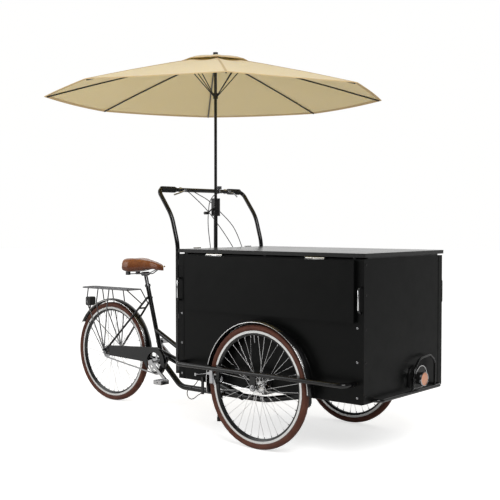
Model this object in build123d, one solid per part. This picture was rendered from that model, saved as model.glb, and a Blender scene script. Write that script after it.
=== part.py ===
"""Front-box vending tricycle: a rear bicycle half steers a boxed two-wheeled front module with a parasol.

Millimetres. +X is forward, +Y is the rider's left, +Z is up. While the pieces are drawn, X is measured
from the front axle. At the end all of them move so that the origin is under the middle of the machine.
"""

import os
from math import acos, atan2, cos, degrees, hypot, pi, radians, sin, tan

from build123d import *

# ---------------------------------------------------------------- driving dimensions
# Wheels
WHEEL_D = 660.0
TYRE_W = 48.0
TYRE_STANDS = 32.0
RIM_W = 27.0
RIM_DEPTH = 25.0
SPOKES = 36
SPOKE_D = 2.3
AXLE_D = 10.0
REAR_AXLE_X = -1616.0
WHEEL_TO_BOX = 46.0
FORK_GAP_HALF = 41.0
REAR_DROP_HALF = 66.0

# Box
BOX_REAR = -620.0
BOX_FRONT = 630.0
BOX_W = 780.0
BOX_FLOOR_Z = 306.0
BOX_TOP_Z = 1018.0
PANEL_T = 18.0
LID_T = 20.0
LID_GAP = 8.0
LID_SIDE_OVER = 8.0
LID_FRONT_OVER = 8.0
LID_REAR_OVER = 4.0

# Side flaps
FLAP_REAR = -558.0
FLAP_FRONT = 585.0
FLAP_DROP = 307.0
FLAP_T = 16.0
FLAP_TOP_GAP = 14.0
FLAP_HINGES_X = (-338.0, 346.0)
HINGE_LENGTH = 118.0

# Rear frame
BB_X = -1152.0
BB_Z = 309.0
SEAT_LUG_X = -1264.0
SEAT_LUG_Z = 713.0
SEAT_CLAMP_Z = 786.0
SADDLE_TOP_Z = 962.0
KEEL_Z = 161.0
KEEL_D = 36.0
MAIN_TUBE_D = 44.0
TOP_TUBE_D = 30.0
CRANK_LENGTH = 170.0
PEDAL_Y = 128.0

# Handlebar hoop and parasol
HOOP_X = -642.0
HOOP_INSET = 11.0
HOOP_D = 25.0
BAR_X = -802.0
BAR_Z = 1391.0
POLE_X = -690.0
POLE_LOW_D = 24.0
POLE_TOP_D = 18.0
CANOPY_R = 1022.0
CANOPY_RIM_Z = 1946.0
CANOPY_T = 3.0
RIBS = 8

# Fits
RUN_FIT = 0.05
SEAT_GAP = 0.3
MOVE_GAP = 5.0

# ---------------------------------------------------------------- derived places
WHEEL_R = WHEEL_D / 2
AXLE_Z = WHEEL_R
RIM_SEAT_R = WHEEL_R - TYRE_STANDS
BOX_HALF_W = BOX_W / 2
WHEEL_Y = BOX_HALF_W + WHEEL_TO_BOX
LID_BOTTOM_Z = BOX_TOP_Z + LID_GAP
LID_TOP_Z = LID_BOTTOM_Z + LID_T
LID_HALF_W = BOX_HALF_W + LID_SIDE_OVER
HOOP_HALF_W = BOX_HALF_W - HOOP_INSET
SIDES = (-1, 1)


# ---------------------------------------------------------------- small builders
def tube(points, diameter, radii):
    """Round bar along straight runs joined by tangent bends."""
    if len(points) == 2:
        path = Line(*points)
    else:
        path = FilletPolyline(*points, radius=radii)
    start = Plane(origin=path @ 0, z_dir=path % 0)
    return sweep(start * Circle(diameter / 2), path=path)


def rod(start, end, diameter):
    """Straight round bar between two points."""
    run = Vector(*end) - Vector(*start)
    return extrude(Plane(origin=start, z_dir=run) * Circle(diameter / 2), amount=run.length)


def disc(x, y_low, y_high, z, diameter):
    """Round piece whose axis lies across the machine."""
    return Pos(x, (y_low + y_high) / 2, z) * Rot(90, 0, 0) * Cylinder(diameter / 2, y_high - y_low)


def block(x, y, z):
    """Box between three pairs of limits."""
    size = [high - low for low, high in (x, y, z)]
    middle = [(low + high) / 2 for low, high in (x, y, z)]
    return Pos(*middle) * Box(*size)


def across(x, z):
    """Sketch plane seen from the right side of the machine: sketch X is +X and sketch Y is +Z."""
    return Plane(origin=(x, 0, z), x_dir=(1, 0, 0), z_dir=(0, -1, 0))


def slab(outline, y):
    """Flat piece with an outline of (X, Z) points between two limits across the machine."""
    face = across(0, 0) * make_face(Polyline(*outline, close=True))
    return Pos(0, max(y), 0) * extrude(face, amount=max(y) - min(y))


# ---------------------------------------------------------------- wheels
def spin_about_axle(outline):
    """Turn a closed outline, drawn as (radius, half-width) points, about the wheel's axle."""
    face = make_face(Plane.XY * Polyline(*outline, close=True))
    return revolve(face, Axis.Y)


def wheel_tyre():
    """Tyre of oval section, flat where it sits in the rim."""
    half_tall = TYRE_STANDS / 2 + 1
    section = Pos(WHEEL_R - half_tall, 0) * Ellipse(half_tall, TYRE_W / 2)
    below_rim = Pos(RIM_SEAT_R - TYRE_W / 2, 0) * Rectangle(TYRE_W, TYRE_W)
    return revolve(section - below_rim, Axis.Y)


def wheel_rim():
    """Box rim with a tapered inner edge."""
    half, inner = RIM_W / 2, RIM_SEAT_R - RIM_DEPTH
    return spin_about_axle(
        [
            (RIM_SEAT_R, half),
            (RIM_SEAT_R - 13, half),
            (inner, 6),
            (inner, -6),
            (RIM_SEAT_R - 13, -half),
            (RIM_SEAT_R, -half),
        ]
    )


FLANGE_R = 27.0
FLANGE_T = 3.0
HUB_BARREL_R = 13.0
HUB_END_R = 9.0


def wheel_hub(flange_y, end_y):
    """Hub barrel with two spoke flanges, bored to run on its axle."""
    bore = AXLE_D / 2 + RUN_FIT
    half = [
        (bore, end_y),
        (HUB_END_R, end_y),
        (HUB_END_R, flange_y + FLANGE_T + 2),
        (HUB_BARREL_R + 3, flange_y + FLANGE_T),
        (FLANGE_R, flange_y + FLANGE_T),
        (FLANGE_R, flange_y),
        (HUB_BARREL_R + 2, flange_y),
        (HUB_BARREL_R, flange_y - 6),
    ]
    return spin_about_axle(half + [(r, -y) for r, y in reversed(half)])


def wheel_spokes(flange_y):
    """Crossed spokes from the hub's two flanges to the rim."""
    spokes = []
    hub_r = FLANGE_R - 4
    rim_r = RIM_SEAT_R - RIM_DEPTH - SEAT_GAP
    for k in range(SPOKES):
        side = 1 if k % 2 else -1
        lead = 1 if (k // 2) % 2 else -1
        rim_angle = radians(k * 360 / SPOKES)
        hub_angle = rim_angle + lead * radians(3 * 720 / SPOKES)
        outer_face = lead > 0
        y_hub = side * (flange_y + FLANGE_T + SPOKE_D / 2 + SEAT_GAP)
        if not outer_face:
            y_hub = side * (flange_y - SPOKE_D / 2 - SEAT_GAP)
        start = Vector(hub_r * cos(hub_angle), y_hub, hub_r * sin(hub_angle))
        end = Vector(rim_r * cos(rim_angle), side * 2.0, rim_r * sin(rim_angle))
        run = end - start
        section = Plane(origin=start, z_dir=run) * RegularPolygon(SPOKE_D / 2, 6)
        spokes.append(extrude(section, amount=run.length))
    return spokes


# ---------------------------------------------------------------- all nodes
nodes = {}


def add_wheel(name, x, y, flange_y, end_y):
    """Tyre, rim, and hub with its spokes, of one wheel at its place."""
    at = Pos(x, y, AXLE_Z)
    nodes[f"tyre_{name}"] = at * wheel_tyre()
    nodes[f"rim_{name}"] = at * wheel_rim()
    nodes[f"hub_{name}"] = at * Compound([wheel_hub(flange_y, end_y), *wheel_spokes(flange_y)])


HUB_FLANGE_Y = 22.0
FRONT_HUB_END = FORK_GAP_HALF - 3.0
REAR_HUB_END = REAR_DROP_HALF - 10.0
add_wheel("front_right", 0, -WHEEL_Y, HUB_FLANGE_Y, FRONT_HUB_END)
add_wheel("front_left", 0, WHEEL_Y, HUB_FLANGE_Y, FRONT_HUB_END)
add_wheel("rear", REAR_AXLE_X, 0, HUB_FLANGE_Y + 4, REAR_HUB_END)

# ---------------------------------------------------------------- rear frame
SEAT_TUBE_D = 29.0
STAY_D = 14.0
BB_SHELL_D = 44.0
BB_SHELL_HALF = 34.0
HEAD_D = 54.0
HEAD_LOW_Z = 176.0
HEAD_TOP_Z = 266.0
KING_PIN_D = 34.0
UNDER_FRAME_T = 25.0
seat_slope = (SEAT_LUG_X - BB_X) / (SEAT_LUG_Z - BB_Z)


def seat_axis(z):
    """X of the seat tube's centre line at a height."""
    return BB_X + seat_slope * (z - BB_Z)


def frame_main():
    """Keel, main and top tubes, seat tube, bottom bracket shell and steering head."""
    seat_top_z = SEAT_CLAMP_Z - 8
    keel_bend_x = -985.0
    keel = tube(
        [(BB_X, 0, BB_Z), (keel_bend_x, 0, KEEL_Z), (-300, 0, KEEL_Z), (0, 0, 222)],
        KEEL_D,
        [110, 400],
    )
    main = rod((seat_axis(362), 0, 362), (-470, 0, 157), MAIN_TUBE_D)
    top = rod((seat_axis(502), 0, 502), (-520, 0, 170), TOP_TUBE_D)
    seat = rod((BB_X, 0, BB_Z), (seat_axis(seat_top_z), 0, seat_top_z), SEAT_TUBE_D)
    shell = disc(BB_X, -BB_SHELL_HALF, BB_SHELL_HALF, BB_Z, BB_SHELL_D)
    head = Pos(0, 0, (HEAD_LOW_Z + HEAD_TOP_Z) / 2) * Cylinder(HEAD_D / 2, HEAD_TOP_Z - HEAD_LOW_Z)
    whole = keel + main + top + seat + shell + head
    whole -= Pos(0, 0, BOX_FLOOR_Z / 2) * Cylinder(KING_PIN_D / 2 + RUN_FIT, BOX_FLOOR_Z)
    whole -= disc(BB_X, -BOX_W, BOX_W, BB_Z, SPINDLE_D + 2 * RUN_FIT)
    return whole


SPINDLE_D = 18.0


def seat_stay_point(share, side):
    """Point on a seat stay's centre line, from its top (0) to the dropout (1)."""
    top = Vector(seat_axis(SEAT_LUG_Z - 6) - 6, side * 22, SEAT_LUG_Z - 6)
    low = Vector(REAR_AXLE_X + 8, side * (REAR_DROP_HALF + 3), AXLE_Z + 22)
    return top + (low - top) * share


def frame_stays():
    """Chain stays, seat stays, the bridge between them and the rear dropout plates."""
    y = REAR_DROP_HALF
    x_end, z_end = REAR_AXLE_X, AXLE_Z
    whole = rod(seat_stay_point(0.2, -1), seat_stay_point(0.2, 1), 12)
    whole += rod(seat_stay_point(0, -1), seat_stay_point(0, 1), 18)
    for side in SIDES:
        chain = rod((BB_X - 18, side * 30, BB_Z + 2), (x_end + 24, side * (y + 3), z_end - 4), STAY_D + 2)
        seat = rod(seat_stay_point(0, side), seat_stay_point(1, side), STAY_D)
        plate = across(x_end, z_end) * make_face(
            Polyline((-16, -14), (30, -14), (34, 2), (18, 30), (0, 30), (-16, 12), close=True)
        )
        plate = Pos(0, side * (y + 3) + 3, 0) * extrude(plate, amount=6)
        plate -= disc(x_end, -BOX_W, BOX_W, z_end, AXLE_D)
        whole += chain + seat + plate
    return whole


nodes["frame_main"] = frame_main()
nodes["frame_stays"] = frame_stays() - nodes["frame_main"]

DROPOUT_T = 6.0
NUT_T = 8.0
AXLE_END = 14.0


def rear_axle():
    """Fixed axle with a nut outside each dropout and a free threaded end beyond it."""
    nut_y = REAR_DROP_HALF + DROPOUT_T
    end_y = nut_y + NUT_T + AXLE_END
    whole = disc(REAR_AXLE_X, -end_y, end_y, AXLE_Z, AXLE_D)
    for side in SIDES:
        whole += disc(REAR_AXLE_X, *sorted((side * nut_y, side * (nut_y + NUT_T))), AXLE_Z, 18)
    return whole


nodes["rear_axle"] = rear_axle()

# ---------------------------------------------------------------- drive
CHAINRING_Y = -52.0
CHAINRING_R = 77.0
SPROCKET_R = 33.0
SPROCKET_T = 3.0
CRANK_Y = 92.0
CRANK_T = 12.0
CRANK_ANGLE = -38.0


def crankset():
    """Spindle, chainring with five arms and the two cranks."""
    spindle = disc(BB_X, -CRANK_Y - CRANK_T, CRANK_Y + CRANK_T, BB_Z, SPINDLE_D)
    ring = disc(BB_X, CHAINRING_Y - SPROCKET_T / 2, CHAINRING_Y + SPROCKET_T / 2, BB_Z, 2 * CHAINRING_R)
    ring -= disc(BB_X, -BOX_W, BOX_W, BB_Z, 2 * (CHAINRING_R - 14))
    whole = spindle + ring
    for k in range(5):
        angle = radians(k * 72 + 18)
        tip = ((CHAINRING_R - 10) * cos(angle), (CHAINRING_R - 10) * sin(angle))
        arm = Pos(BB_X + tip[0] / 2, CHAINRING_Y, BB_Z + tip[1] / 2)
        arm *= Rot(0, -degrees(angle), 0)
        whole += arm * Box(hypot(*tip), SPROCKET_T, 14)
    for side in SIDES:
        turn = radians(CRANK_ANGLE) + (0 if side < 0 else pi)
        end_x, end_z = BB_X + CRANK_LENGTH * cos(turn), BB_Z + CRANK_LENGTH * sin(turn)
        y_mid = side * (CRANK_Y + CRANK_T / 2)
        bar = Pos((BB_X + end_x) / 2, y_mid, (BB_Z + end_z) / 2) * Rot(0, -degrees(turn), 0)
        whole += bar * Box(CRANK_LENGTH, CRANK_T, 20)
        for x, z, d in ((BB_X, BB_Z, 34), (end_x, end_z, 26)):
            whole += disc(x, y_mid - CRANK_T / 2, y_mid + CRANK_T / 2, z, d)
        whole += disc(end_x, *sorted((y_mid, side * (PEDAL_Y + 46))), end_z, 9)
    return whole


nodes["crankset"] = crankset()


def pedal(side):
    """Platform pedal, bored to turn on the crank's pin."""
    turn = radians(CRANK_ANGLE) + (0 if side < 0 else pi)
    x, z = BB_X + CRANK_LENGTH * cos(turn), BB_Z + CRANK_LENGTH * sin(turn)
    y_low, y_high = sorted((side * (CRANK_Y + CRANK_T + MOVE_GAP), side * (PEDAL_Y + 50)))
    body = block((x - 34, x + 34), (y_low, y_high), (z - 13, z + 13))
    hollow = block((x - 26, x + 26), (y_low + 8, y_high - 8), (z - 20, z + 20))
    core = disc(x, y_low, y_high, z, 22)
    return body - hollow + core - disc(x, -BOX_W, BOX_W, z, 9 + 2 * RUN_FIT)


nodes["pedal_right"] = pedal(-1)
nodes["pedal_left"] = pedal(1)

ring_y = (CHAINRING_Y - SPROCKET_T / 2, CHAINRING_Y + SPROCKET_T / 2)
sprocket = disc(REAR_AXLE_X, *ring_y, AXLE_Z, 2 * SPROCKET_R)
nodes["rear_sprocket"] = sprocket - disc(REAR_AXLE_X, -BOX_W, BOX_W, AXLE_Z, 2 * HUB_END_R)

# ---------------------------------------------------------------- chain and its guard
CASE_WALL = 2.0
CASE_OUTER_Y = -80.0
CASE_INNER_Y = -60.0
CASE_FRONT_R = 94.0
CASE_TAIL_R = 46.0
CASE_TAIL_X = -1570.0
CASE_WINDOW_R = 61.0
CHAIN_W = 7.0
CHAIN_H = 8.0


def wrap_outline(front_r, tail_r):
    """Two round ends joined by their common tangents, seen from the side, about the crank axle."""
    run = Vector(REAR_AXLE_X - BB_X, AXLE_Z - BB_Z)
    ends = Circle(front_r) + Pos(run.X, run.Y) * Circle(tail_r)
    return make_hull(ends.edges())


def chain():
    """Closed chain loop round the chainring and the rear sprocket."""
    at = across(BB_X, BB_Z)
    gap = SEAT_GAP
    outer = wrap_outline(CHAINRING_R + gap + CHAIN_H, SPROCKET_R + gap + CHAIN_H)
    inner = wrap_outline(CHAINRING_R + gap, SPROCKET_R + gap)
    loop = extrude(at * (outer - inner), amount=CHAIN_W)
    return Pos(0, CHAINRING_Y + CHAIN_W / 2, 0) * loop


def chain_guard():
    """Dished guard over the chain's upper run and round the chainring, with a round window."""
    at = across(BB_X, BB_Z)
    depth = CASE_INNER_Y - CASE_OUTER_Y
    below = make_face(
        Polyline(
            (-700, 14),
            (-92, -6),
            (-66, -40),
            (10, -74),
            (64, -64),
            (140, -110),
            (140, -200),
            (-700, -200),
            close=True,
        )
    )
    skin = wrap_outline(CASE_FRONT_R, CASE_TAIL_R) - below
    lining = wrap_outline(CASE_FRONT_R - CASE_WALL, CASE_TAIL_R - CASE_WALL) - below
    outer = Pos(0, CASE_INNER_Y, 0) * extrude(at * skin, amount=depth)
    inner = Pos(0, CASE_INNER_Y, 0) * extrude(at * lining, amount=depth - CASE_WALL)
    guard = outer - inner
    guard -= disc(BB_X, CASE_OUTER_Y - 5, CASE_OUTER_Y + 5, BB_Z, 2 * CASE_WINDOW_R)
    guard -= block((2 * REAR_AXLE_X, CASE_TAIL_X), (CASE_OUTER_Y - 5, 0), (0, BOX_TOP_Z))
    boss = disc(CASE_TAIL_X + 30, CASE_OUTER_Y + 1, CASE_OUTER_Y + 12, AXLE_Z - 4, 12)
    return guard + boss - nodes["frame_stays"]


nodes["chain"] = chain()
nodes["chain_guard"] = chain_guard()

# ---------------------------------------------------------------- prop stand
STAND_X = -620.0
STAND_Y = -50.0
STAND_D = 20.0
STAND_FOOT_D = 24.0
STAND_PIN_D = 10.0
STAND_PIN_Z = 148.0
STAND_LUG_T = 6.0


def stand_bracket():
    """Two lugs welded under the keel that carry the stand's pivot pin."""
    lugs = []
    for y in (STAND_Y - 16, STAND_Y + 16):
        plate = block((STAND_X - 14, STAND_X + 14), (y - STAND_LUG_T / 2, y + STAND_LUG_T / 2), (134, 174))
        lugs.append(plate - disc(STAND_X, y - 10, y + 10, STAND_PIN_Z, STAND_PIN_D))
    plate = block((STAND_X - 14, STAND_X + 14), (STAND_Y - 19, 0), (168, 174))
    pin = disc(STAND_X, STAND_Y - 22, STAND_Y + 22, STAND_PIN_Z, STAND_PIN_D)
    return lugs[0] + lugs[1] + plate + pin - nodes["frame_main"]


def prop_stand():
    """Leg with an eye on the pivot pin and a round rubber foot."""
    eye_half = 16 - STAND_LUG_T / 2 - 0.5
    eye = disc(STAND_X, STAND_Y - eye_half, STAND_Y + eye_half, STAND_PIN_Z, 24)
    leg = rod((STAND_X, STAND_Y, STAND_PIN_Z), (STAND_X, STAND_Y, 6), STAND_D)
    foot = Pos(STAND_X, STAND_Y, 12) * Cylinder(STAND_FOOT_D / 2, 24)
    return eye + leg + foot - disc(STAND_X, -BOX_W, BOX_W, STAND_PIN_Z, STAND_PIN_D + 2 * RUN_FIT)


nodes["stand_bracket"] = stand_bracket()
nodes["prop_stand"] = prop_stand()

# ---------------------------------------------------------------- rear mudguard, rack and lamp
GUARD_GAP = 26.0
GUARD_R = WHEEL_R + GUARD_GAP
GUARD_W = 55.0
GUARD_T = 2.0
GUARD_CROWN = 12.0


def guard_arc(x, y, radius, width, start, end):
    """Curved strip of mudguard over a wheel, from a start to an end angle above the axle."""
    crown, half = GUARD_CROWN, width / 2
    section = make_face(
        Plane.XY
        * (
            ThreePointArc((radius - crown, -half), (radius, 0), (radius - crown, half))
            + Line((radius - crown, half), (radius - crown - GUARD_T, half - 0.5))
            + ThreePointArc(
                (radius - crown - GUARD_T, half - 0.5),
                (radius - GUARD_T, 0),
                (radius - crown - GUARD_T, 0.5 - half),
            )
            + Line((radius - crown - GUARD_T, 0.5 - half), (radius - crown, -half))
        )
    )
    strip = revolve(section, Axis((0, 0, 0), (0, -1, 0)), end - start)
    return Pos(x, y, AXLE_Z) * Rot(0, -start, 0) * strip


def polar(x, radius, angle):
    """X and Z of a point at a radius and an angle above a wheel's axle."""
    return x + radius * cos(radians(angle)), AXLE_Z + radius * sin(radians(angle))


def rear_mudguard():
    """Crowned strip with a wire stay each side at the tail."""
    whole = guard_arc(REAR_AXLE_X, 0, GUARD_R, GUARD_W, GUARD_FRONT_END, GUARD_TAIL_END)
    for side in SIDES:
        y_in, y_wire = side * (REAR_DROP_HALF + 15.3), side * (REAR_DROP_HALF + 21)
        x, z = polar(REAR_AXLE_X, GUARD_R - GUARD_CROWN - 1, GUARD_TAIL_END - 12)
        lug_x, lug_z = REAR_AXLE_X + TAIL_LUG[0], AXLE_Z + TAIL_LUG[1]
        whole += rod((lug_x, y_wire, lug_z), (x, side * (GUARD_W / 2 - 1), z), STAY_WIRE_D)
        whole += disc(lug_x, *sorted((y_in, y_wire + side * 2)), lug_z, 10)
    return whole


GUARD_FRONT_END = -6.0
GUARD_TAIL_END = 150.0
TAIL_LUG = (-10.0, 14.0)
STAY_WIRE_D = 5.0
nodes["rear_mudguard"] = rear_mudguard()

RACK_OVER_GUARD = 66.0
RACK_Z = AXLE_Z + GUARD_R + RACK_OVER_GUARD
RACK_REAR = -1874.0
RACK_FRONT = -1416.0
RACK_HALF_W = 62.0
RACK_WIRE_D = 9.0
RACK_LEG_X = (-1800.0, -1700.0, -1590.0)


def rack():
    """Carrier of bent rod: a long loop, slats, and legs down to the axle on both sides."""
    half, z = RACK_HALF_W, RACK_Z
    rear, front = RACK_REAR, RACK_FRONT
    whole = tube(
        [(front, -half, z), (rear, -half, z), (rear, half, z), (front, half, z)], RACK_WIRE_D, [30, 30]
    )
    for x in (front, -1500.0, -1620.0, -1740.0):
        whole += rod((x, -half, z), (x, half, z), RACK_WIRE_D)
    for y in (-22, 22):
        whole += rod((rear, y, z), (front, y, z), RACK_WIRE_D - 2)
    foot_y = REAR_DROP_HALF + 11
    for side in SIDES:
        foot = (REAR_AXLE_X + TAIL_LUG[0], side * foot_y, AXLE_Z + TAIL_LUG[1])
        for x in RACK_LEG_X:
            whole += tube([(x, side * half, z), (x, side * foot_y, z - 90), foot], RACK_WIRE_D - 1, [40])
        eye = disc(foot[0], *sorted((side * (foot_y - 4.7), side * (foot_y + 4))), foot[2], 16)
        whole += eye
        start, end = Vector(front, side * half, z), seat_stay_point(0.12, side)
        reach = (end - start).length - STAY_D / 2 - 2 * SEAT_GAP
        whole += rod(start, start + (end - start).normalized() * reach, RACK_WIRE_D - 1)
    return whole


nodes["rack"] = rack()

LAMP_X = -1852.0
LAMP_Z = 655.0


def tail_lamp():
    """Rounded lamp body on the mudguard's tail with a short bracket."""
    body = block((LAMP_X - 22, LAMP_X + 26), (-24, 24), (LAMP_Z - 30, LAMP_Z + 30))
    body = fillet(body.edges().filter_by(Axis.Y), 12)
    x, z = polar(REAR_AXLE_X, GUARD_R + 4, 132)
    bracket = rod((LAMP_X, 0, LAMP_Z - 20), (x, 0, z), 10)
    return body + bracket - nodes["rear_mudguard"]


nodes["tail_lamp"] = tail_lamp()

# ---------------------------------------------------------------- seat
SEAT_POST_D = 25.0
SADDLE_LENGTH = 302.0
SADDLE_REAR_X = -1463.0
SADDLE_HALF_W = 104.0
SADDLE_SKIRT = 88.0


def saddle():
    """Sprung saddle's padded shell: wide at the back, a narrow nose, open underneath."""
    rear, nose = SADDLE_REAR_X, SADDLE_REAR_X + SADDLE_LENGTH
    top = make_face(
        Spline(
            (rear, 0),
            (rear + 22, SADDLE_HALF_W * 0.82),
            (rear + 75, SADDLE_HALF_W),
            (rear + 160, SADDLE_HALF_W * 0.42),
            (rear + 240, SADDLE_HALF_W * 0.24),
            (nose - 8, SADDLE_HALF_W * 0.17),
            (nose, 0),
        )
        + Spline(
            (nose, 0),
            (nose - 8, -SADDLE_HALF_W * 0.17),
            (rear + 240, -SADDLE_HALF_W * 0.24),
            (rear + 160, -SADDLE_HALF_W * 0.42),
            (rear + 75, -SADDLE_HALF_W),
            (rear + 22, -SADDLE_HALF_W * 0.82),
            (rear, 0),
        )
    )
    low_z = SADDLE_TOP_Z - SADDLE_SKIRT
    body = Pos(0, 0, low_z) * extrude(top, amount=SADDLE_SKIRT)
    side = make_face(
        across(0, 0)
        * Polyline(
            (rear - 5, low_z),
            (rear + 150, low_z + 4),
            (rear + 215, low_z + 22),
            (nose + 5, low_z + 26),
            (nose + 5, SADDLE_TOP_Z - 34),
            (nose - 60, SADDLE_TOP_Z - 24),
            (rear + 120, SADDLE_TOP_Z - 6),
            (rear + 60, SADDLE_TOP_Z),
            (rear - 5, SADDLE_TOP_Z - 10),
            close=True,
        )
    )
    side = Pos(0, SADDLE_HALF_W + 5, 0) * extrude(side, amount=2 * SADDLE_HALF_W + 10)
    return body & side


nodes["saddle"] = saddle()


def seat_post():
    """Post with its clamp collar, saddle clamp and the saddle's two rails."""
    top_z = SADDLE_TOP_Z - SADDLE_SKIRT - 12
    foot_z = SEAT_CLAMP_Z - 8
    post = rod((seat_axis(foot_z), 0, foot_z), (seat_axis(top_z), 0, top_z), SEAT_POST_D)
    collar = rod(
        (seat_axis(SEAT_CLAMP_Z - 7), 0, SEAT_CLAMP_Z - 7),
        (seat_axis(SEAT_CLAMP_Z + 8), 0, SEAT_CLAMP_Z + 8),
        38,
    )
    clamp = disc(seat_axis(top_z), -28, 28, top_z, 26)
    whole = post + collar + clamp
    for side in SIDES:
        rail = tube(
            [
                (SADDLE_REAR_X + 40, side * 34, top_z - 4),
                (SADDLE_REAR_X + 110, side * 24, top_z),
                (SADDLE_REAR_X + 200, side * 24, top_z),
                (SADDLE_REAR_X + 270, side * 8, top_z + 32),
            ],
            7,
            [30, 60],
        )
        whole += rail
        coil_x, coil_y = SADDLE_REAR_X + 40, side * 44
        whole += Pos(coil_x, coil_y, top_z + 3) * Cylinder(16, 26)
    return whole - nodes["saddle"]


nodes["seat_post"] = seat_post()

# ---------------------------------------------------------------- front module: under-frame and kingpin
UNDER_TOP_Z = BOX_FLOOR_Z
UNDER_LOW_Z = BOX_FLOOR_Z - UNDER_FRAME_T
UNDER_INSET = 90.0
UNDER_HALF_W = BOX_HALF_W - UNDER_INSET
UNDER_REAR = -540.0
UNDER_FRONT = 560.0
UNDER_PLATE_REAR = -90.0 - UNDER_FRAME_T


def under_frame():
    """Ladder of square tube under the box with the plate that carries the kingpin."""
    z = (UNDER_LOW_Z, UNDER_TOP_Z)
    t = UNDER_FRAME_T
    whole = block((-90, 90), (-90, 90), (UNDER_TOP_Z - 8, UNDER_TOP_Z))
    for side in SIDES:
        wall_y = sorted((side * UNDER_HALF_W, side * (UNDER_HALF_W - t)))
        whole += block((UNDER_REAR, UNDER_FRONT), wall_y, z)
    for x in (UNDER_REAR, UNDER_PLATE_REAR, 90, UNDER_FRONT - t):
        whole += block((x, x + t), (-UNDER_HALF_W, UNDER_HALF_W), z)
    for side in SIDES:
        whole += block((-12, 12), sorted((side * (UNDER_HALF_W - 1), side * BOX_HALF_W)), z)
    return whole


nodes["under_frame"] = under_frame()


def king_pin():
    """Steering pin hung from the under-frame, with a thrust collar above and a nut below the head."""
    low, top = HEAD_LOW_Z - 20, UNDER_TOP_Z - 8
    pin = Pos(0, 0, (low + top) / 2) * Cylinder(KING_PIN_D / 2, top - low)
    collar_low = HEAD_TOP_Z + SEAT_GAP
    collar = Pos(0, 0, (collar_low + top) / 2) * Cylinder(HEAD_D / 2, top - collar_low)
    nut_top = HEAD_LOW_Z - SEAT_GAP
    nut = Pos(0, 0, nut_top - 12) * extrude(RegularPolygon(26, 6), amount=12)
    return pin + collar + nut


nodes["king_pin"] = king_pin()

# ---------------------------------------------------------------- front module: box
inside_z = (BOX_FLOOR_Z + PANEL_T, BOX_TOP_Z)
inside_x = (BOX_REAR + PANEL_T, BOX_FRONT - PANEL_T)
nodes["box_floor"] = block(
    inside_x, (PANEL_T - BOX_HALF_W, BOX_HALF_W - PANEL_T), (BOX_FLOOR_Z, BOX_FLOOR_Z + PANEL_T)
)
full_z = (BOX_FLOOR_Z, BOX_TOP_Z)
nodes["box_front"] = block((BOX_FRONT - PANEL_T, BOX_FRONT), (-BOX_HALF_W, BOX_HALF_W), full_z)
nodes["box_rear"] = block((BOX_REAR, BOX_REAR + PANEL_T), (-BOX_HALF_W, BOX_HALF_W), full_z)
right_side = block(inside_x, (-BOX_HALF_W, PANEL_T - BOX_HALF_W), full_z)
left_side = block(inside_x, (BOX_HALF_W - PANEL_T, BOX_HALF_W), full_z)
nodes["box_sides"] = Compound([right_side, left_side])

ANGLE_W = 38.0
ANGLE_T = 1.5


def corner_angles():
    """Sheet angles screwed over the four upright corners."""
    pieces = []
    z = (BOX_FLOOR_Z, BOX_TOP_Z)
    for x, inward in ((BOX_REAR, 1), (BOX_FRONT, -1)):
        for side in SIDES:
            outside = side * (BOX_HALF_W + ANGLE_T)
            face_y = sorted((outside, side * (BOX_HALF_W - ANGLE_W)))
            face = block(sorted((x - inward * ANGLE_T, x)), face_y, z)
            flank = block(sorted((x, x + inward * ANGLE_W)), sorted((outside, side * BOX_HALF_W)), z)
            pieces.append(face + flank)
    return Compound(pieces)


nodes["corner_angles"] = corner_angles()


SEAL_W = 9.0
SEAL_HALF = 350.0


def lid_pads():
    """Rubber buffers and two sealing strips on the panels' top edges, which the lid rests on."""
    tall = LID_GAP - SEAT_GAP
    places = [(x, side * (BOX_HALF_W - PANEL_T / 2)) for x in (-560, 5, 570) for side in SIDES]
    middle_z = BOX_TOP_Z + tall / 2
    buffers = [Pos(x, y, middle_z) * Cylinder(PANEL_T / 2 - 1, tall) for x, y in places]
    front = Pos(BOX_FRONT - PANEL_T / 2, 0, middle_z) * Box(SEAL_W, 2 * SEAL_HALF, tall)
    rear = Pos(BOX_REAR + PANEL_T / 2, 0, middle_z) * Box(SEAL_W, 2 * SEAL_HALF, tall)
    return Compound([*buffers, front, rear])


nodes["lid_pads"] = lid_pads()

GRAB_X = (-606.0, 616.0)
GRAB_Z = (756.0, 880.0)
GRAB_OUT = 24.0
GRAB_D = 11.0


def grab_handles():
    """Four upright bow handles on the box's side faces, beside the corners."""
    pieces = []
    face = BOX_HALF_W + ANGLE_T
    for x in GRAB_X:
        for side in SIDES:
            y_in, y_out = side * face, side * (face + GRAB_OUT)
            low_z, top_z = GRAB_Z
            route = [(x, y_in, low_z), (x, y_out, low_z), (x, y_out, top_z), (x, y_in, top_z)]
            pieces.append(tube(route, GRAB_D, [12, 12]))
    return Compound(pieces)


nodes["grab_handles"] = grab_handles()

# ---------------------------------------------------------------- front module: wheel rails
RAIL_D = 25.0
RAIL_Z = 404.0
RAIL_REAR = -568.0
RAIL_FRONT = 578.0
PLATE_T = 5.0
PLATE_W = 38.0
outer_plate_y = WHEEL_Y + FORK_GAP_HALF
RAIL_Y = outer_plate_y + PLATE_T / 2


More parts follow.
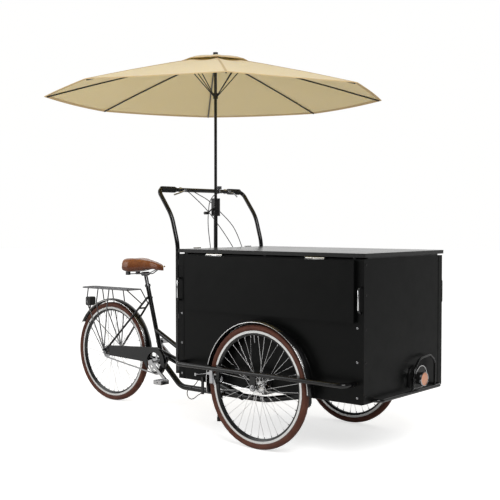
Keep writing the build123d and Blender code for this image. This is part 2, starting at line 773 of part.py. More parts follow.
def side_rails():
    """Tube along the outside of each front wheel, bent in to the box, with the outer dropout plate."""
    pieces = []
    for side in SIDES:
        y, y_in = side * RAIL_Y, side * BOX_HALF_W
        route = [
            (RAIL_REAR, y_in, RAIL_Z),
            (RAIL_REAR, y, RAIL_Z),
            (RAIL_FRONT, y, RAIL_Z),
            (RAIL_FRONT, y_in, RAIL_Z),
        ]
        rail = tube(route, RAIL_D, [40, 40])
        plate = block(
            (-PLATE_W / 2, PLATE_W / 2),
            sorted((side * outer_plate_y, side * (outer_plate_y + PLATE_T))),
            (AXLE_Z, RAIL_Z),
        )
        plate += disc(0, *sorted((side * outer_plate_y, side * (outer_plate_y + PLATE_T))), AXLE_Z, PLATE_W)
        pieces.append(rail + plate - disc(0, -2 * BOX_W, 2 * BOX_W, AXLE_Z, AXLE_D))
    return Compound(pieces)


nodes["side_rails"] = side_rails()


def inner_plates():
    """Plates on the box's sides that carry the inner end of each front axle."""
    pieces = []
    for side in SIDES:
        y = sorted((side * BOX_HALF_W, side * (BOX_HALF_W + PLATE_T)))
        plate = block((-60, 60), y, (BOX_FLOOR_Z - 15, BOX_FLOOR_Z + 90))
        plate = fillet(plate.edges().filter_by(Axis.Y), 20)
        pieces.append(plate)
    return Compound(pieces)


nodes["inner_plates"] = inner_plates()


def front_axles():
    """Axle bolts through the outer plates, with cone spacers and nuts."""
    pieces = []
    for side in SIDES:
        inner, outer = BOX_HALF_W + PLATE_T, outer_plate_y + PLATE_T
        bolt = disc(0, *sorted((side * inner, side * (outer + 14))), AXLE_Z, AXLE_D)
        spacer = disc(0, *sorted((side * (outer_plate_y - 2.4), side * outer_plate_y)), AXLE_Z, 20)
        nut = disc(0, *sorted((side * outer, side * (outer + 9))), AXLE_Z, 20)
        pieces.append(bolt + spacer + nut)
    return Compound(pieces)


nodes["front_axles"] = front_axles()

FRONT_GUARD_START = -1.0
FRONT_GUARD_END = 191.0


def front_mudguards():
    """Crowned strips over the front wheels, each held by two lugs on the box's side."""
    pieces = []
    for side in SIDES:
        strip = guard_arc(0, side * WHEEL_Y, GUARD_R, GUARD_W, FRONT_GUARD_START, FRONT_GUARD_END)
        for angle in (50, 130):
            x, z = polar(0, GUARD_R - GUARD_CROWN, angle)
            y = sorted((side * (WHEEL_Y - GUARD_W / 2 + 2), side * BOX_HALF_W))
            strip += block((x - 12, x + 12), y, (z - 2, z + 2))
        pieces.append(strip)
    return Compound(pieces)


nodes["front_mudguards"] = front_mudguards()

# ---------------------------------------------------------------- front module: bumper and head lamp
BUMPER_D = 19.0
BUMPER_X = 673.0
BUMPER_Z = 318.0
BUMPER_INSET = 80.0
BUMPER_HALF_W = BOX_HALF_W - BUMPER_INSET


def bumper():
    """Bent tube across the foot of the front panel."""
    route = [
        (BOX_FRONT, -BUMPER_HALF_W, BUMPER_Z),
        (BUMPER_X, -BUMPER_HALF_W, BUMPER_Z),
        (BUMPER_X, BUMPER_HALF_W, BUMPER_Z),
        (BOX_FRONT, BUMPER_HALF_W, BUMPER_Z),
    ]
    return tube(route, BUMPER_D, [30, 30])


HEAD_LAMP_Y = 82.0
HEAD_LAMP_Z = 381.0
HEAD_LAMP_D = 74.0
HEAD_LAMP_FRONT = 700.0
SHIELD_X = 660.0
SHIELD_T = 4.0
SHIELD_R = 56.0
shield_middle = (118.0, 386.0)
shield_tip = (33.0, 330.0)


def head_lamp():
    """Round lamp on a foot on the front panel, through a drop-shaped shield that points to the right."""
    foot = Pos(BOX_FRONT + 3, HEAD_LAMP_Y, HEAD_LAMP_Z) * Box(6, 90, 110)
    foot = fillet(foot.edges().filter_by(Axis.X), 30)
    run = HEAD_LAMP_FRONT - BOX_FRONT - 6
    shell = Pos(BOX_FRONT + 6 + run / 2, HEAD_LAMP_Y, HEAD_LAMP_Z) * Rot(0, 90, 0)
    shell *= Cone(26, HEAD_LAMP_D / 2, run)
    away = Vector(*shield_tip) - Vector(*shield_middle)
    heading = degrees(atan2(away.Y, away.X))
    reach = degrees(acos(SHIELD_R / away.length))
    sides = [
        (
            shield_middle[0] + SHIELD_R * cos(radians(heading + turn)),
            shield_middle[1] + SHIELD_R * sin(radians(heading + turn)),
        )
        for turn in (-reach, reach)
    ]
    face = make_face(Polyline(shield_tip, sides[0], shield_middle, sides[1], close=True))
    face += Pos(*shield_middle) * Circle(SHIELD_R)
    from_front = Plane(origin=(SHIELD_X, 0, 0), x_dir=(0, 1, 0), z_dir=(1, 0, 0))
    shield = extrude(from_front * face, amount=-SHIELD_T)
    return foot + shell + shield


nodes["head_lamp"] = head_lamp()

ARCH_D = 12.0


def lamp_arch():
    """Bent guard bar that stands over the lamp."""
    route = [
        (BUMPER_X - 1, 6, BUMPER_Z + 3),
        (BUMPER_X - 8, 44, 437),
        (BUMPER_X - 14, 100, 480),
        (BUMPER_X - 18, 215, 490),
        (BUMPER_X - 16, 268, 455),
        (BUMPER_X - 1, 240, BUMPER_Z + 3),
    ]
    return tube(route, ARCH_D, [80, 90, 40, 35])


nodes["bumper"] = bumper() + lamp_arch()

# ---------------------------------------------------------------- front module: handlebar
HOOP_LOW_Z = 330.0
GRIP_D = 33.0
GRIP_IN = 236.0
GRIP_OUT = 352.0


def handlebar_hoop():
    """Tall bar: two legs on the box's back, leaning to the rider, and the cross bar between them."""
    y = HOOP_HALF_W
    route = [
        (HOOP_X, -y, HOOP_LOW_Z),
        (HOOP_X, -y, 1070),
        (HOOP_X - 47, -y, 1235),
        (BAR_X, -y, BAR_Z),
        (BAR_X, y, BAR_Z),
        (HOOP_X - 47, y, 1235),
        (HOOP_X, y, 1070),
        (HOOP_X, y, HOOP_LOW_Z),
    ]
    whole = tube(route, HOOP_D, [260, 260, 40, 40, 260, 260])
    for side in SIDES:
        for z in (HOOP_LOW_Z + 30, HOOP_LOW_Z + 330, BOX_TOP_Z - 50):
            foot_y = sorted((side * (y - 9), side * (y + 9)))
            whole += block((HOOP_X, BOX_REAR - ANGLE_T), foot_y, (z - 14, z + 14))
    return whole


nodes["handlebar_hoop"] = handlebar_hoop()


def bar_sleeves(y_in, y_out, diameter):
    """Matching sleeves on both halves of the cross bar."""
    pieces = []
    for side in SIDES:
        sleeve = disc(BAR_X, *sorted((side * y_in, side * y_out)), BAR_Z, diameter)
        pieces.append(sleeve - disc(BAR_X, -BOX_W, BOX_W, BAR_Z, HOOP_D))
    return pieces


nodes["grips"] = Compound(bar_sleeves(GRIP_IN, GRIP_OUT - 20, GRIP_D))

LEVER_CLAMP_Y = 200.0
BELL_Y = 146.0


def brake_levers():
    """Clamp rings with a short body and a blade in front of each grip, and the bell on the left."""
    pieces = []
    rings = bar_sleeves(LEVER_CLAMP_Y - 11, LEVER_CLAMP_Y + 11, HOOP_D + 8)
    for side, ring in zip(SIDES, rings):
        y = side * LEVER_CLAMP_Y
        body_y = sorted((y - side * 12, y + side * 12))
        body = block((BAR_X + 14, BAR_X + 52), body_y, (BAR_Z - 12, BAR_Z + 6))
        blade = tube(
            [
                (BAR_X + 46, y, BAR_Z - 4),
                (BAR_X + 58, y + side * 34, BAR_Z - 14),
                (BAR_X + 38, y + side * 84, BAR_Z - 32),
            ],
            9,
            [40],
        )
        pieces.append(ring + body + blade)
    bell = bar_sleeves(BELL_Y - 7, BELL_Y + 7, HOOP_D + 7)[1]
    bell += Pos(BAR_X + 8, BELL_Y, BAR_Z + 22) * Cylinder(19, 18)
    return Compound([*pieces, bell - nodes["handlebar_hoop"]])


nodes["brake_levers"] = brake_levers()

# ---------------------------------------------------------------- front module: parasol
POLE_LOW_Z = 420.0
WINDER_LOW_Z = 1235.0
WINDER_TOP_Z = 1342.0
RUNNER_Z = 1961.0
RUNNER_D = 30.0
RUNNER_TALL = 34.0
CROWN_D = 44.0
CROWN_Z = 2188.0
CROWN_T = 22.0


def pole_brackets():
    """Two arms on the box's back with a split ring round the pole."""
    pieces = []
    for z in (500.0, 940.0):
        arm = block((POLE_X, BOX_REAR), (-12, 12), (z - 15, z + 15))
        pad = block((BOX_REAR - 5, BOX_REAR), (-40, 40), (z - 28, z + 28))
        ring = Pos(POLE_X, 0, z) * Cylinder(POLE_LOW_D / 2 + 7, 30)
        hole = Pos(POLE_X, 0, z) * Cylinder(POLE_LOW_D / 2, 60)
        pieces.append(arm + pad + ring - hole)
    return pieces


def parasol_pole():
    """Lower tube, winder housing and the slimmer upper tube up to the crown."""
    lower_middle = Pos(POLE_X, 0, (POLE_LOW_Z + WINDER_LOW_Z) / 2)
    lower = lower_middle * Cylinder(POLE_LOW_D / 2, WINDER_LOW_Z - POLE_LOW_Z)
    housing = block((POLE_X - 24, POLE_X + 24), (-22, 22), (WINDER_LOW_Z, WINDER_TOP_Z))
    housing = fillet(housing.edges().filter_by(Axis.Z), 14)
    upper_top = CROWN_Z - CROWN_T / 2 + 4
    upper_middle = Pos(POLE_X, 0, (WINDER_TOP_Z + upper_top) / 2)
    upper = upper_middle * Cylinder(POLE_TOP_D / 2, upper_top - WINDER_TOP_Z)
    handle = rod((POLE_X, -22, WINDER_LOW_Z + 42), (POLE_X, -34, WINDER_LOW_Z + 42), 12)
    arm = rod((POLE_X, -34, WINDER_LOW_Z + 42), (POLE_X - 34, -34, WINDER_LOW_Z + 18), 9)
    knob = rod((POLE_X - 34, -30, WINDER_LOW_Z + 18), (POLE_X - 34, -62, WINDER_LOW_Z + 18), 18)
    return lower + housing + upper + handle + arm + knob


nodes["parasol_pole"] = parasol_pole()


# The cloth's ridges are three straight runs, steeper towards the rim: (radius, height) from the crown out.
VENT_R = 60.0
ridge = [(VENT_R, 2190.0), (380.0, 2114.0), (700.0, 2033.0), (CANOPY_R, CANOPY_RIM_Z)]


def octagon(radius, z):
    """Level eight-sided face round the pole with a corner on each main axis."""
    return Pos(POLE_X, 0, z) * RegularPolygon(radius, RIBS)


def tent(corners):
    """Solid of flat panels that rise from an octagon rim through (radius, height) corners."""
    return loft([octagon(radius, z) for radius, z in reversed(corners)], ruled=True)


def cloth(corners, thickness):
    """Shell of a tent with its underside left open."""
    below = [(radius, z - thickness) for radius, z in corners]
    (r_out, z_out), (r_in, z_in) = below[-1], below[-2]
    below[-1] = (r_out + 40, z_out - 40 * (z_in - z_out) / (r_out - r_in))
    return tent(corners) - tent(below)


STEM_D = 14.0
cap_ridge = [(22.0, 2206.0), (110.0, 2194.0), (175.0, 2180.0), (220.0, 2164.0)]
CAP_TOP_Z = cap_ridge[0][1]
vent = extrude(octagon(VENT_R + 2, CROWN_Z - 60), amount=120)
main_cloth = cloth(ridge, CANOPY_T) - vent
cap_cloth = cloth(cap_ridge, CANOPY_T) - Pos(POLE_X, 0, CAP_TOP_Z) * Cylinder(STEM_D / 2, 60)
nodes["canopy"] = Compound([main_cloth, cap_cloth])
FINIAL_TOP_Z = 2223.0


def crown():
    """Hub on the pole's top that the ribs hinge in, with the stem and finial above the cap."""
    body = Pos(POLE_X, 0, CROWN_Z) * Cylinder(CROWN_D / 2, CROWN_T)
    low = CROWN_Z - CROWN_T / 2
    stem = Pos(POLE_X, 0, (low + FINIAL_TOP_Z) / 2) * Cylinder(STEM_D / 2, FINIAL_TOP_Z - low)
    finial_low = CAP_TOP_Z + SEAT_GAP
    finial = Pos(POLE_X, 0, (finial_low + FINIAL_TOP_Z) / 2) * Cylinder(15, FINIAL_TOP_Z - finial_low)
    return body + stem + finial - nodes["parasol_pole"]


nodes["crown"] = crown()
RIB_D = 8.0
STRUT_D = 6.0
STRUT_R = 181.0
RIB_UNDER_CLOTH = CANOPY_T + RIB_D / 2 + 2 * SEAT_GAP
RIB_END_IN = 16.0


def under_ridge(radius):
    """Height of a rib's centre line under the cloth's ridge, at a radius from the pole."""
    for (r_in, z_in), (r_out, z_out) in zip(ridge, ridge[1:]):
        if radius <= r_out:
            break
    return z_in + (z_out - z_in) * (radius - r_in) / (r_out - r_in) - RIB_UNDER_CLOTH


def ribs():
    """Eight bowed ribs with their struts to the runner."""
    radii = [CROWN_D / 2 - 2, ridge[1][0], ridge[2][0], CANOPY_R - RIB_END_IN]
    rib = tube([(POLE_X + r, 0, under_ridge(r)) for r in radii], RIB_D, [9000, 9000])
    foot, joint = (POLE_X + RUNNER_D / 2 - 2, 0, RUNNER_Z), (POLE_X + STRUT_R, 0, under_ridge(STRUT_R))
    arm = rib + rod(foot, joint, STRUT_D)
    whole = Pos(POLE_X, 0, RUNNER_Z) * Cylinder(RUNNER_D / 2, RUNNER_TALL)
    for k in range(RIBS):
        whole += arm.rotate(Axis((POLE_X, 0, 0), (0, 0, 1)), 360 * k / RIBS)
    whole -= Pos(POLE_X, 0, RUNNER_Z) * Cylinder(POLE_TOP_D / 2, 2 * RUNNER_TALL)
    return whole - nodes["crown"]


nodes["ribs"] = ribs()

# ---------------------------------------------------------------- front module: wheel brakes
ARM_T = 8.0
PAD_RADIAL = 14.0
PAD_TALL = 38.0
PAD_ANGLE = 177.0
STRADDLE_WIRE_D = 2.0
# Outline of a brake arm: (distance ahead of the rim's rearmost point, height above the axle)
BRAKE_ARM = [
    (36, -16),
    (20, -18),
    (0, 22),
    (-4, 36),
    (-38, 36),
    (-38, 46),
    (-2, 56),
    (12, 54),
    (18, 22),
]


def rim_brake(side):
    """Arm, pad and mount on each side of one front wheel's rim, joined by the straddle wire behind it."""
    outline = [(ahead - RIM_SEAT_R, AXLE_Z + above) for ahead, above in BRAKE_ARM]
    pad_near = RIM_W / 2 + MOVE_GAP
    arm_near = pad_near + 10.5
    pad_x, pad_z = polar(0, RIM_SEAT_R - PAD_RADIAL / 2 - 2, PAD_ANGLE)
    wire_x, wire_z = polar(0, WHEEL_R + MOVE_GAP + STRADDLE_WIRE_D, 173)
    wire_y = sorted((side * (WHEEL_Y - arm_near), side * (WHEEL_Y + arm_near)))
    whole = disc(wire_x, *wire_y, wire_z, STRADDLE_WIRE_D)
    for toward in SIDES:
        arm_y = [side * (WHEEL_Y + toward * (arm_near + step)) for step in (0, ARM_T)]
        pad_y = side * (WHEEL_Y + toward * (pad_near + arm_near) / 2)
        pad_at = Pos(pad_x, pad_y, pad_z) * Rot(0, -PAD_ANGLE, 0)
        pad = pad_at * Box(PAD_RADIAL, arm_near - pad_near, PAD_TALL)
        whole += slab(outline, arm_y) + pad
    boss_x, boss_z = polar(0, RIM_SEAT_R - 24, 181)
    whole += disc(boss_x, *sorted((side * BOX_HALF_W, side * (WHEEL_Y - arm_near))), boss_z, 20)
    hanger_y = (side * (WHEEL_Y + arm_near + ARM_T), side * (RAIL_Y + 1))
    whole += block((-RIM_SEAT_R - 7, 13 - RIM_SEAT_R), sorted(hanger_y), (AXLE_Z - 8, RAIL_Z - 4))
    stop_y = sorted((side * (WHEEL_Y - arm_near - ARM_T), side * (WHEEL_Y - arm_near)))
    arm_rear_x, arm_top_z = min(x for x, z in outline), AXLE_Z + 46
    whole += block((CABLE_STOP_X - 5, CABLE_STOP_X + 5), stop_y, (CABLE_STOP_Z, arm_top_z))
    whole += block((CABLE_STOP_X - 5, arm_rear_x + 4), stop_y, (arm_top_z - 10, arm_top_z))
    rod_y = sum(stop_y) / 2
    lug_y = sorted((side * BOX_HALF_W, rod_y + side * ARM_T / 2))
    whole += block((REACH_REAR_X - 6, REACH_REAR_X + 6), lug_y, (AXLE_Z + 4, AXLE_Z + 20))
    whole += rod((REACH_REAR_X, rod_y, AXLE_Z + 12), (CABLE_STOP_X, rod_y, arm_top_z - 14), 3)
    return whole - nodes["side_rails"]


CABLE_STOP_X = -350.0
CABLE_STOP_Z = AXLE_Z
REACH_REAR_X = -480.0
nodes["rim_brakes"] = Compound([rim_brake(side) for side in SIDES])

# ---------------------------------------------------------------- front module: brake cables
CABLE_D = 5.0
CABLE_DOWN_X = -630.0
# From a front brake's cable stop back to the run under the box, on the right side
loop_to_brake = [
    (-517, -355, 286),
    (-503, -375, 284),
    (-503, -397, 272),
    (-518, -410, 256),
    (-540, -407, 244),
    (-547, -404, 223),
    (-539, -401, 203),
    (-519, -399, 195),
    (-498, -398, 202),
    (-476, -391, 222),
    (-447, -393, 237),
    (-419, -396, 252),
    (-392, -399, 265),
    (-367, -401, 281),
    (CABLE_STOP_X, -402, 304),
    (CABLE_STOP_X, -402, CABLE_STOP_Z),
]
left_route = [
    (-770, -188, 1391),
    (-770, -155, 1391),
    (-772, -110, 1383),
    (-768, -60, 1362),
    (-761, -3, 1339),
    (-751, 51, 1304),
    (-739, 97, 1260),
    (-726, 146, 1218),
    (-711, 188, 1171),
    (-695, 213, 1113),
    (-682, 232, 1052),
    (-669, 246, 989),
    (-655, 255, 926),
    (-640, 261, 864),
    (CABLE_DOWN_X, 263, 800),
    (CABLE_DOWN_X, 263, 304),
    (-612, 264, 286),
    (-588, 272, 286),
    (-563, 290, 286),
    (-541, 319, 286),
] + [(x, -y, z) for x, y, z in loop_to_brake]
right_route = [
    (-770, -188, 1382),
    (-770, -160, 1382),
    (-771, -120, 1359),
    (-766, -74, 1327),
    (-759, -25, 1289),
    (-750, 21, 1245),
    (-739, 62, 1197),
    (-724, 99, 1147),
    (-706, 131, 1094),
    (-692, 164, 1041),
    (-677, 186, 983),
    (-659, 198, 923),
    (-641, 204, 862),
    (CABLE_DOWN_X, 206, 800),
    (CABLE_DOWN_X, 206, 304),
    (-612, 205, 286),
    (-590, 196, 286),
    (-576, 178, 286),
    (-572, 150, 286),
    (-572, -238, 286),
    (-568, -270, 286),
    (-556, -300, 286),
    (-538, -328, 286),
] + loop_to_brake
rear_route = [
    (-770, 188, 1388),
    (-770, 160, 1388),
    (-774, 122, 1381),
    (-778, 77, 1363),
    (-775, 37, 1323),
    (-769, 22, 1268),
    (-760, 7, 1213),
    (-748, -3, 1157),
    (-736, -7, 1101),
    (-722, -12, 1045),
    (-707, -24, 991),
    (-689, -39, 938),
    (-666, -51, 886),
    (-642, -57, 836),
    (CABLE_DOWN_X, -58, 780),
    (CABLE_DOWN_X, -58, 296),
    (-606, -58, 272),
    (UNDER_PLATE_REAR, -58, 272),
]


def cable(name, points):
    """Brake cable of short runs, each bend as wide as its two runs allow."""
    runs = [Vector(*end) - Vector(*start) for start, end in zip(points, points[1:])]
    radii = []
    for before, after in zip(runs, runs[1:]):
        half_turn = radians(before.get_angle(after) / 2)
        radii.append(0.45 * min(before.length, after.length) / tan(half_turn))
    whole = tube(points, CABLE_D, radii)
    length = whole.volume / (pi * CABLE_D**2 / 4)
    print(f"{name}: length {length:.0f}, radii {[round(radius) for radius in radii]}")
    return whole


nodes["cable_front_left"] = cable("cable_front_left", left_route)
nodes["cable_front_right"] = cable("cable_front_right", right_route)
nodes["cable_rear"] = cable("cable_rear", rear_route)


def cable_clips():
    """Saddles that hold the cables on the box's back, under its floor and beside the front brakes."""
    deep = CABLE_DOWN_X - CABLE_D
    clips = [
        block((deep, BOX_REAR), (y - 7, y + 7), (z - 6, z + 6))
        for y in (263, 206, -58)
        for z in (740, 570, 390)
    ]
    clips += [block((-579, -565), (y - 6, y + 6), (279, BOX_FLOOR_Z)) for y in (120, -190)]
    clips.append(block((-534, -521), (-65, -51), (266, UNDER_LOW_Z)))
    clips.append(block((-327, -313), (-65, -51), (266, BOX_FLOOR_Z)))
    for side in SIDES:
        clip_y = sorted((side * BOX_HALF_W, side * (BOX_HALF_W + 10)))
        clips.append(block((-441, -427), clip_y, (234, 330)))
    cables = nodes["cable_front_left"] + nodes["cable_front_right"] + nodes["cable_rear"]
    stop = block((UNDER_PLATE_REAR, UNDER_PLATE_REAR + 14), (-65, -51), (266, UNDER_LOW_Z))
    return [clip - cables for clip in clips] + [stop]


nodes["back_fittings"] = Compound([*pole_brackets(), *cable_clips()])

# ---------------------------------------------------------------- lid
LID_HINGE_X = BOX_REAR - LID_REAR_OVER - 5.5
LID_HINGE_Z = LID_TOP_Z + 2
LID_HINGE_D = 9.0
LID_PIN_D = 5.0
LID_HINGE_Y = (-230.0, 230.0)
LID_LEAF_T = 2.0
LID_LEAF_HALF = 28.0
LID_LEAF_FRONT = BOX_REAR + 40
KNUCKLE = 20.0


def lid():
    """Worktop slab that covers the box, with eased edges and pockets for the hinge leaves."""
    slab_top = block(
        (BOX_REAR - LID_REAR_OVER, BOX_FRONT + LID_FRONT_OVER),
        (-LID_HALF_W, LID_HALF_W),
        (LID_BOTTOM_Z, LID_TOP_Z),
    )
    slab_top = fillet(slab_top.edges().filter_by(Axis.Z), 6)
    for y in LID_HINGE_Y:
        span = (y - LID_LEAF_HALF, y + LID_LEAF_HALF)
        slab_top -= block((LID_HINGE_X, LID_LEAF_FRONT), span, (LID_TOP_Z - LID_LEAF_T, LID_TOP_Z))
    return slab_top


def lid_hinge_fixed():
    """Box side of the lid's hinges: block on the rear panel, end knuckles and the pin."""
    pieces = []
    for y in LID_HINGE_Y:
        whole_span = (y - 1.5 * KNUCKLE, y + 1.5 * KNUCKLE)
        whole = block((LID_HINGE_X - 4.5, BOX_REAR), whole_span, (BOX_TOP_Z - 70, BOX_TOP_Z - 4))
        whole += disc(LID_HINGE_X, *whole_span, LID_HINGE_Z, LID_PIN_D)
        for y_low in (whole_span[0], y + 0.5 * KNUCKLE):
            span = (y_low, y_low + KNUCKLE)
            whole += disc(LID_HINGE_X, *span, LID_HINGE_Z, LID_HINGE_D)
            whole += block((LID_HINGE_X - 4.5, LID_HINGE_X - 1), span, (BOX_TOP_Z - 70, LID_HINGE_Z))
        pieces.append(whole)
    return Compound(pieces)


def lid_hinge_leaf():
    """Lid side of the lid's hinges: the middle knuckle and a leaf let into the slab's top."""
    pieces = []
    leaf_z = (LID_TOP_Z - LID_LEAF_T, LID_TOP_Z)
    for y in LID_HINGE_Y:
        span = (y - 0.5 * KNUCKLE + 0.5, y + 0.5 * KNUCKLE - 0.5)
        knuckle = disc(LID_HINGE_X, *span, LID_HINGE_Z, LID_HINGE_D)
        neck = block((LID_HINGE_X, LID_LEAF_FRONT), span, leaf_z)
        leaf_y = (y - LID_LEAF_HALF, y + LID_LEAF_HALF)
        leaf = block((BOX_REAR - LID_REAR_OVER, LID_LEAF_FRONT), leaf_y, leaf_z)
        bore = disc(LID_HINGE_X, y - KNUCKLE, y + KNUCKLE, LID_HINGE_Z, LID_PIN_D + 2 * RUN_FIT)
        pieces.append(knuckle + neck + leaf - bore)
    return Compound(pieces)


nodes["lid"] = lid()
nodes["lid_hinge_fixed"] = lid_hinge_fixed()
nodes["lid_hinge_leaf"] = lid_hinge_leaf()

# ---------------------------------------------------------------- side flaps
FLAP_FACE_GAP = 8.0
FLAP_PIVOT_OUT = 6.0
FLAP_PIVOT_D = 8.0
FLAP_PIN_D = 4.0
FLAP_LEAF_T = 2.0
flap_in_y = BOX_HALF_W + FLAP_FACE_GAP
flap_top_z = LID_BOTTOM_Z - FLAP_TOP_GAP
pivot_y = flap_in_y + FLAP_PIVOT_OUT
pivot_z = (LID_BOTTOM_Z + flap_top_z) / 2


def flap(side):
    """Board that hangs over the box's side and swings up beside the lid."""
    y = sorted((side * flap_in_y, side * (flap_in_y + FLAP_T)))
    return block((FLAP_REAR, FLAP_FRONT), y, (flap_top_z - FLAP_DROP, flap_top_z))


def along(x, side, diameter, length):
    """Round piece on a flap's hinge line, along the machine."""
    return Pos(x, side * pivot_y, pivot_z) * Rot(0, 90, 0) * Cylinder(diameter / 2, length)


def flap_hinge_fixed():
    """Box side of the flaps' hinges: leaf on the side panel's top edge, end knuckles and the pin."""
    pieces = []
    third = HINGE_LENGTH / 3
    for side in SIDES:
        leaf_y = sorted((side * pivot_y, side * (BOX_HALF_W - PANEL_T + 4)))
        for x in FLAP_HINGES_X:
            whole = along(x, side, FLAP_PIN_D, HINGE_LENGTH)
            for x_mid in (x - third, x + third):
                whole += along(x_mid, side, FLAP_PIVOT_D, third)
                span = (x_mid - third / 2, x_mid + third / 2)
                whole += block(span, leaf_y, (BOX_TOP_Z, BOX_TOP_Z + FLAP_LEAF_T))
            pieces.append(whole)
    return Compound(pieces)


def flap_leaf(side):
    """Flap side of one flap's hinges: middle knuckles with a leaf on the board's top edge."""
    pieces = []
    third = HINGE_LENGTH / 3
    y = side * pivot_y
    web_y = sorted((y - side, y + side))
    leaf_y = sorted((side * flap_in_y, side * (flap_in_y + FLAP_T)))
    for x in FLAP_HINGES_X:
        span = (x - third / 2 + 0.5, x + third / 2 - 0.5)
        whole = along(x, side, FLAP_PIVOT_D, third - 1)
        whole += block(span, web_y, (flap_top_z, pivot_z))
        whole += block((x - HINGE_LENGTH / 2, x + HINGE_LENGTH / 2), leaf_y, (flap_top_z, flap_top_z + 1.5))
        pieces.append(whole - along(x, side, FLAP_PIN_D + 2 * RUN_FIT, 2 * HINGE_LENGTH))
    return Compound(pieces)


nodes["flap_right"] = flap(-1)
nodes["flap_left"] = flap(1)
nodes["flap_hinge_fixed"] = flap_hinge_fixed()
nodes["flap_leaf_right"] = flap_leaf(-1)
nodes["flap_leaf_left"] = flap_leaf(1)

# ---------------------------------------------------------------- placing and export
FRONT_END_X = HEAD_LAMP_FRONT
REAR_END_X = REAR_AXLE_X - WHEEL_R
shift = Pos(-(FRONT_END_X + REAR_END_X) / 2, 0, 0)

os.makedirs("parts", exist_ok=True)
for name, piece in nodes.items():
    export_step(shift * piece, f"parts/{name}.step")
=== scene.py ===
"""Vending tricycle with a parasol: finishes, cloth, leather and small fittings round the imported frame."""

import math

import bpy
from mathutils import Matrix, Vector


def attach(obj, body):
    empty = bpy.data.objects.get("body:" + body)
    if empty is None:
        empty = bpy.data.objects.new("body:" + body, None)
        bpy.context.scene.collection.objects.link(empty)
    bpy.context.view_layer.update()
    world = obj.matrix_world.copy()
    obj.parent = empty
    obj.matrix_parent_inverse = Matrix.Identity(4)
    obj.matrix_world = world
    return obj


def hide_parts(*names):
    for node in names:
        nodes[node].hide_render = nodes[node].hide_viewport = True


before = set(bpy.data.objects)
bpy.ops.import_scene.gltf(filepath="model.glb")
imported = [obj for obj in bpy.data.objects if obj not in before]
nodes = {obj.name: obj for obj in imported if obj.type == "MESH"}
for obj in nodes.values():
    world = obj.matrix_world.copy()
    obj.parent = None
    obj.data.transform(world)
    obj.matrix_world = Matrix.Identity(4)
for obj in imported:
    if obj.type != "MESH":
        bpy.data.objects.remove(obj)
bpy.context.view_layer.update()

# ---------------------------------------------------------------- camera, floor and light
# The camera stands off the machine's front right corner at chest height, looking back along the box.
# A white backdrop stands behind the machine, and the room round the camera is darker, as in a studio.
CAMERA_AT = (3.7288, -4.2176, 1.2027)
CAMERA_HEADING = math.radians(39.88)
CAMERA_DROP = math.radians(1.76)
CAMERA_LENS = 67.14
CAMERA_SENSOR = 36.0
BACKDROP_WAY = (-0.64, 0.767, 0.0)
BACKDROP_WHITE = (1.0, 1.0, 0.995, 1)
ROOM_DARK = 0.07
SOFT_LIGHT = 0.55
LAMPS = (("key", (4.5, -3.5, 4.5), 210, 3.0), ("fill", (-4.5, -4.5, 3.0), 110, 3.5))
LAMP_AIM = Vector((0, 0, 0.9))
FLOOR_SIZE = 60
FLOOR_WHITE = (0.86, 0.86, 0.855, 1)
FLOOR_SHOWN = 0.62
camera_data = bpy.data.cameras.new("camera")
camera_data.lens = CAMERA_LENS
camera_data.sensor_width = CAMERA_SENSOR
camera = bpy.data.objects.new("camera", camera_data)
camera.location = CAMERA_AT
camera.rotation_euler = (math.radians(90) - CAMERA_DROP, 0, CAMERA_HEADING)
bpy.context.scene.collection.objects.link(camera)
bpy.context.scene.camera = camera
bpy.context.scene.view_settings.view_transform = "Standard"


def add_node(tree, kind, values=None, **settings):
    """Adds a shader node, sets its own settings and the values of its unlinked inputs."""
    node = tree.nodes.new(kind)
    for name, value in settings.items():
        setattr(node, name, value)
    for name, value in (values or {}).items():
        node.inputs[name].default_value = value
    return node


def wire(tree, *joins):
    """Links an output to an input for each (node, output, node, input)."""
    for source, output, target, socket in joins:
        tree.links.new(source.outputs[output], target.inputs[socket])


def new_material(name):
    """Material with its node tree and its main shader."""
    paint = bpy.data.materials.new(name)
    paint.use_nodes = True
    return paint, paint.node_tree, paint.node_tree.nodes["Principled BSDF"]


world = bpy.data.worlds.new("studio")
bpy.context.scene.world = world
world.use_nodes = True
studio = world.node_tree
seen = add_node(studio, "ShaderNodeLightPath")
way = add_node(studio, "ShaderNodeTexCoord")
behind = add_node(studio, "ShaderNodeVectorMath", {1: BACKDROP_WAY}, operation="DOT_PRODUCT")
backdrop = add_node(studio, "ShaderNodeMapRange", {"From Min": 0.05, "From Max": 0.75, "To Min": ROOM_DARK})
glossy = add_node(studio, "ShaderNodeMath", operation="MAXIMUM")
pick_soft = add_node(studio, "ShaderNodeMix", {2: SOFT_LIGHT}, data_type="FLOAT")
pick_shown = add_node(studio, "ShaderNodeMix", {3: 1.0}, data_type="FLOAT")
wire(
    studio,
    (way, "Generated", behind, 0),
    (behind, "Value", backdrop, "Value"),
    (seen, "Is Glossy Ray", glossy, 0),
    (seen, "Is Transmission Ray", glossy, 1),
    (glossy, 0, pick_soft, 0),
    (backdrop, "Result", pick_soft, 3),
    (seen, "Is Camera Ray", pick_shown, 0),
    (pick_soft, 0, pick_shown, 2),
)
sky = studio.nodes["Background"]
sky.inputs["Color"].default_value = BACKDROP_WHITE
wire(studio, (pick_shown, 0, sky, "Strength"))

for name, spot, watts, side in LAMPS:
    lamp = bpy.data.lights.new(name, "AREA")
    lamp.energy = watts
    lamp.size = side
    stand = bpy.data.objects.new(name, lamp)
    stand.location = spot
    stand.rotation_euler = (LAMP_AIM - Vector(spot)).to_track_quat("-Z", "Y").to_euler()
    bpy.context.scene.collection.objects.link(stand)

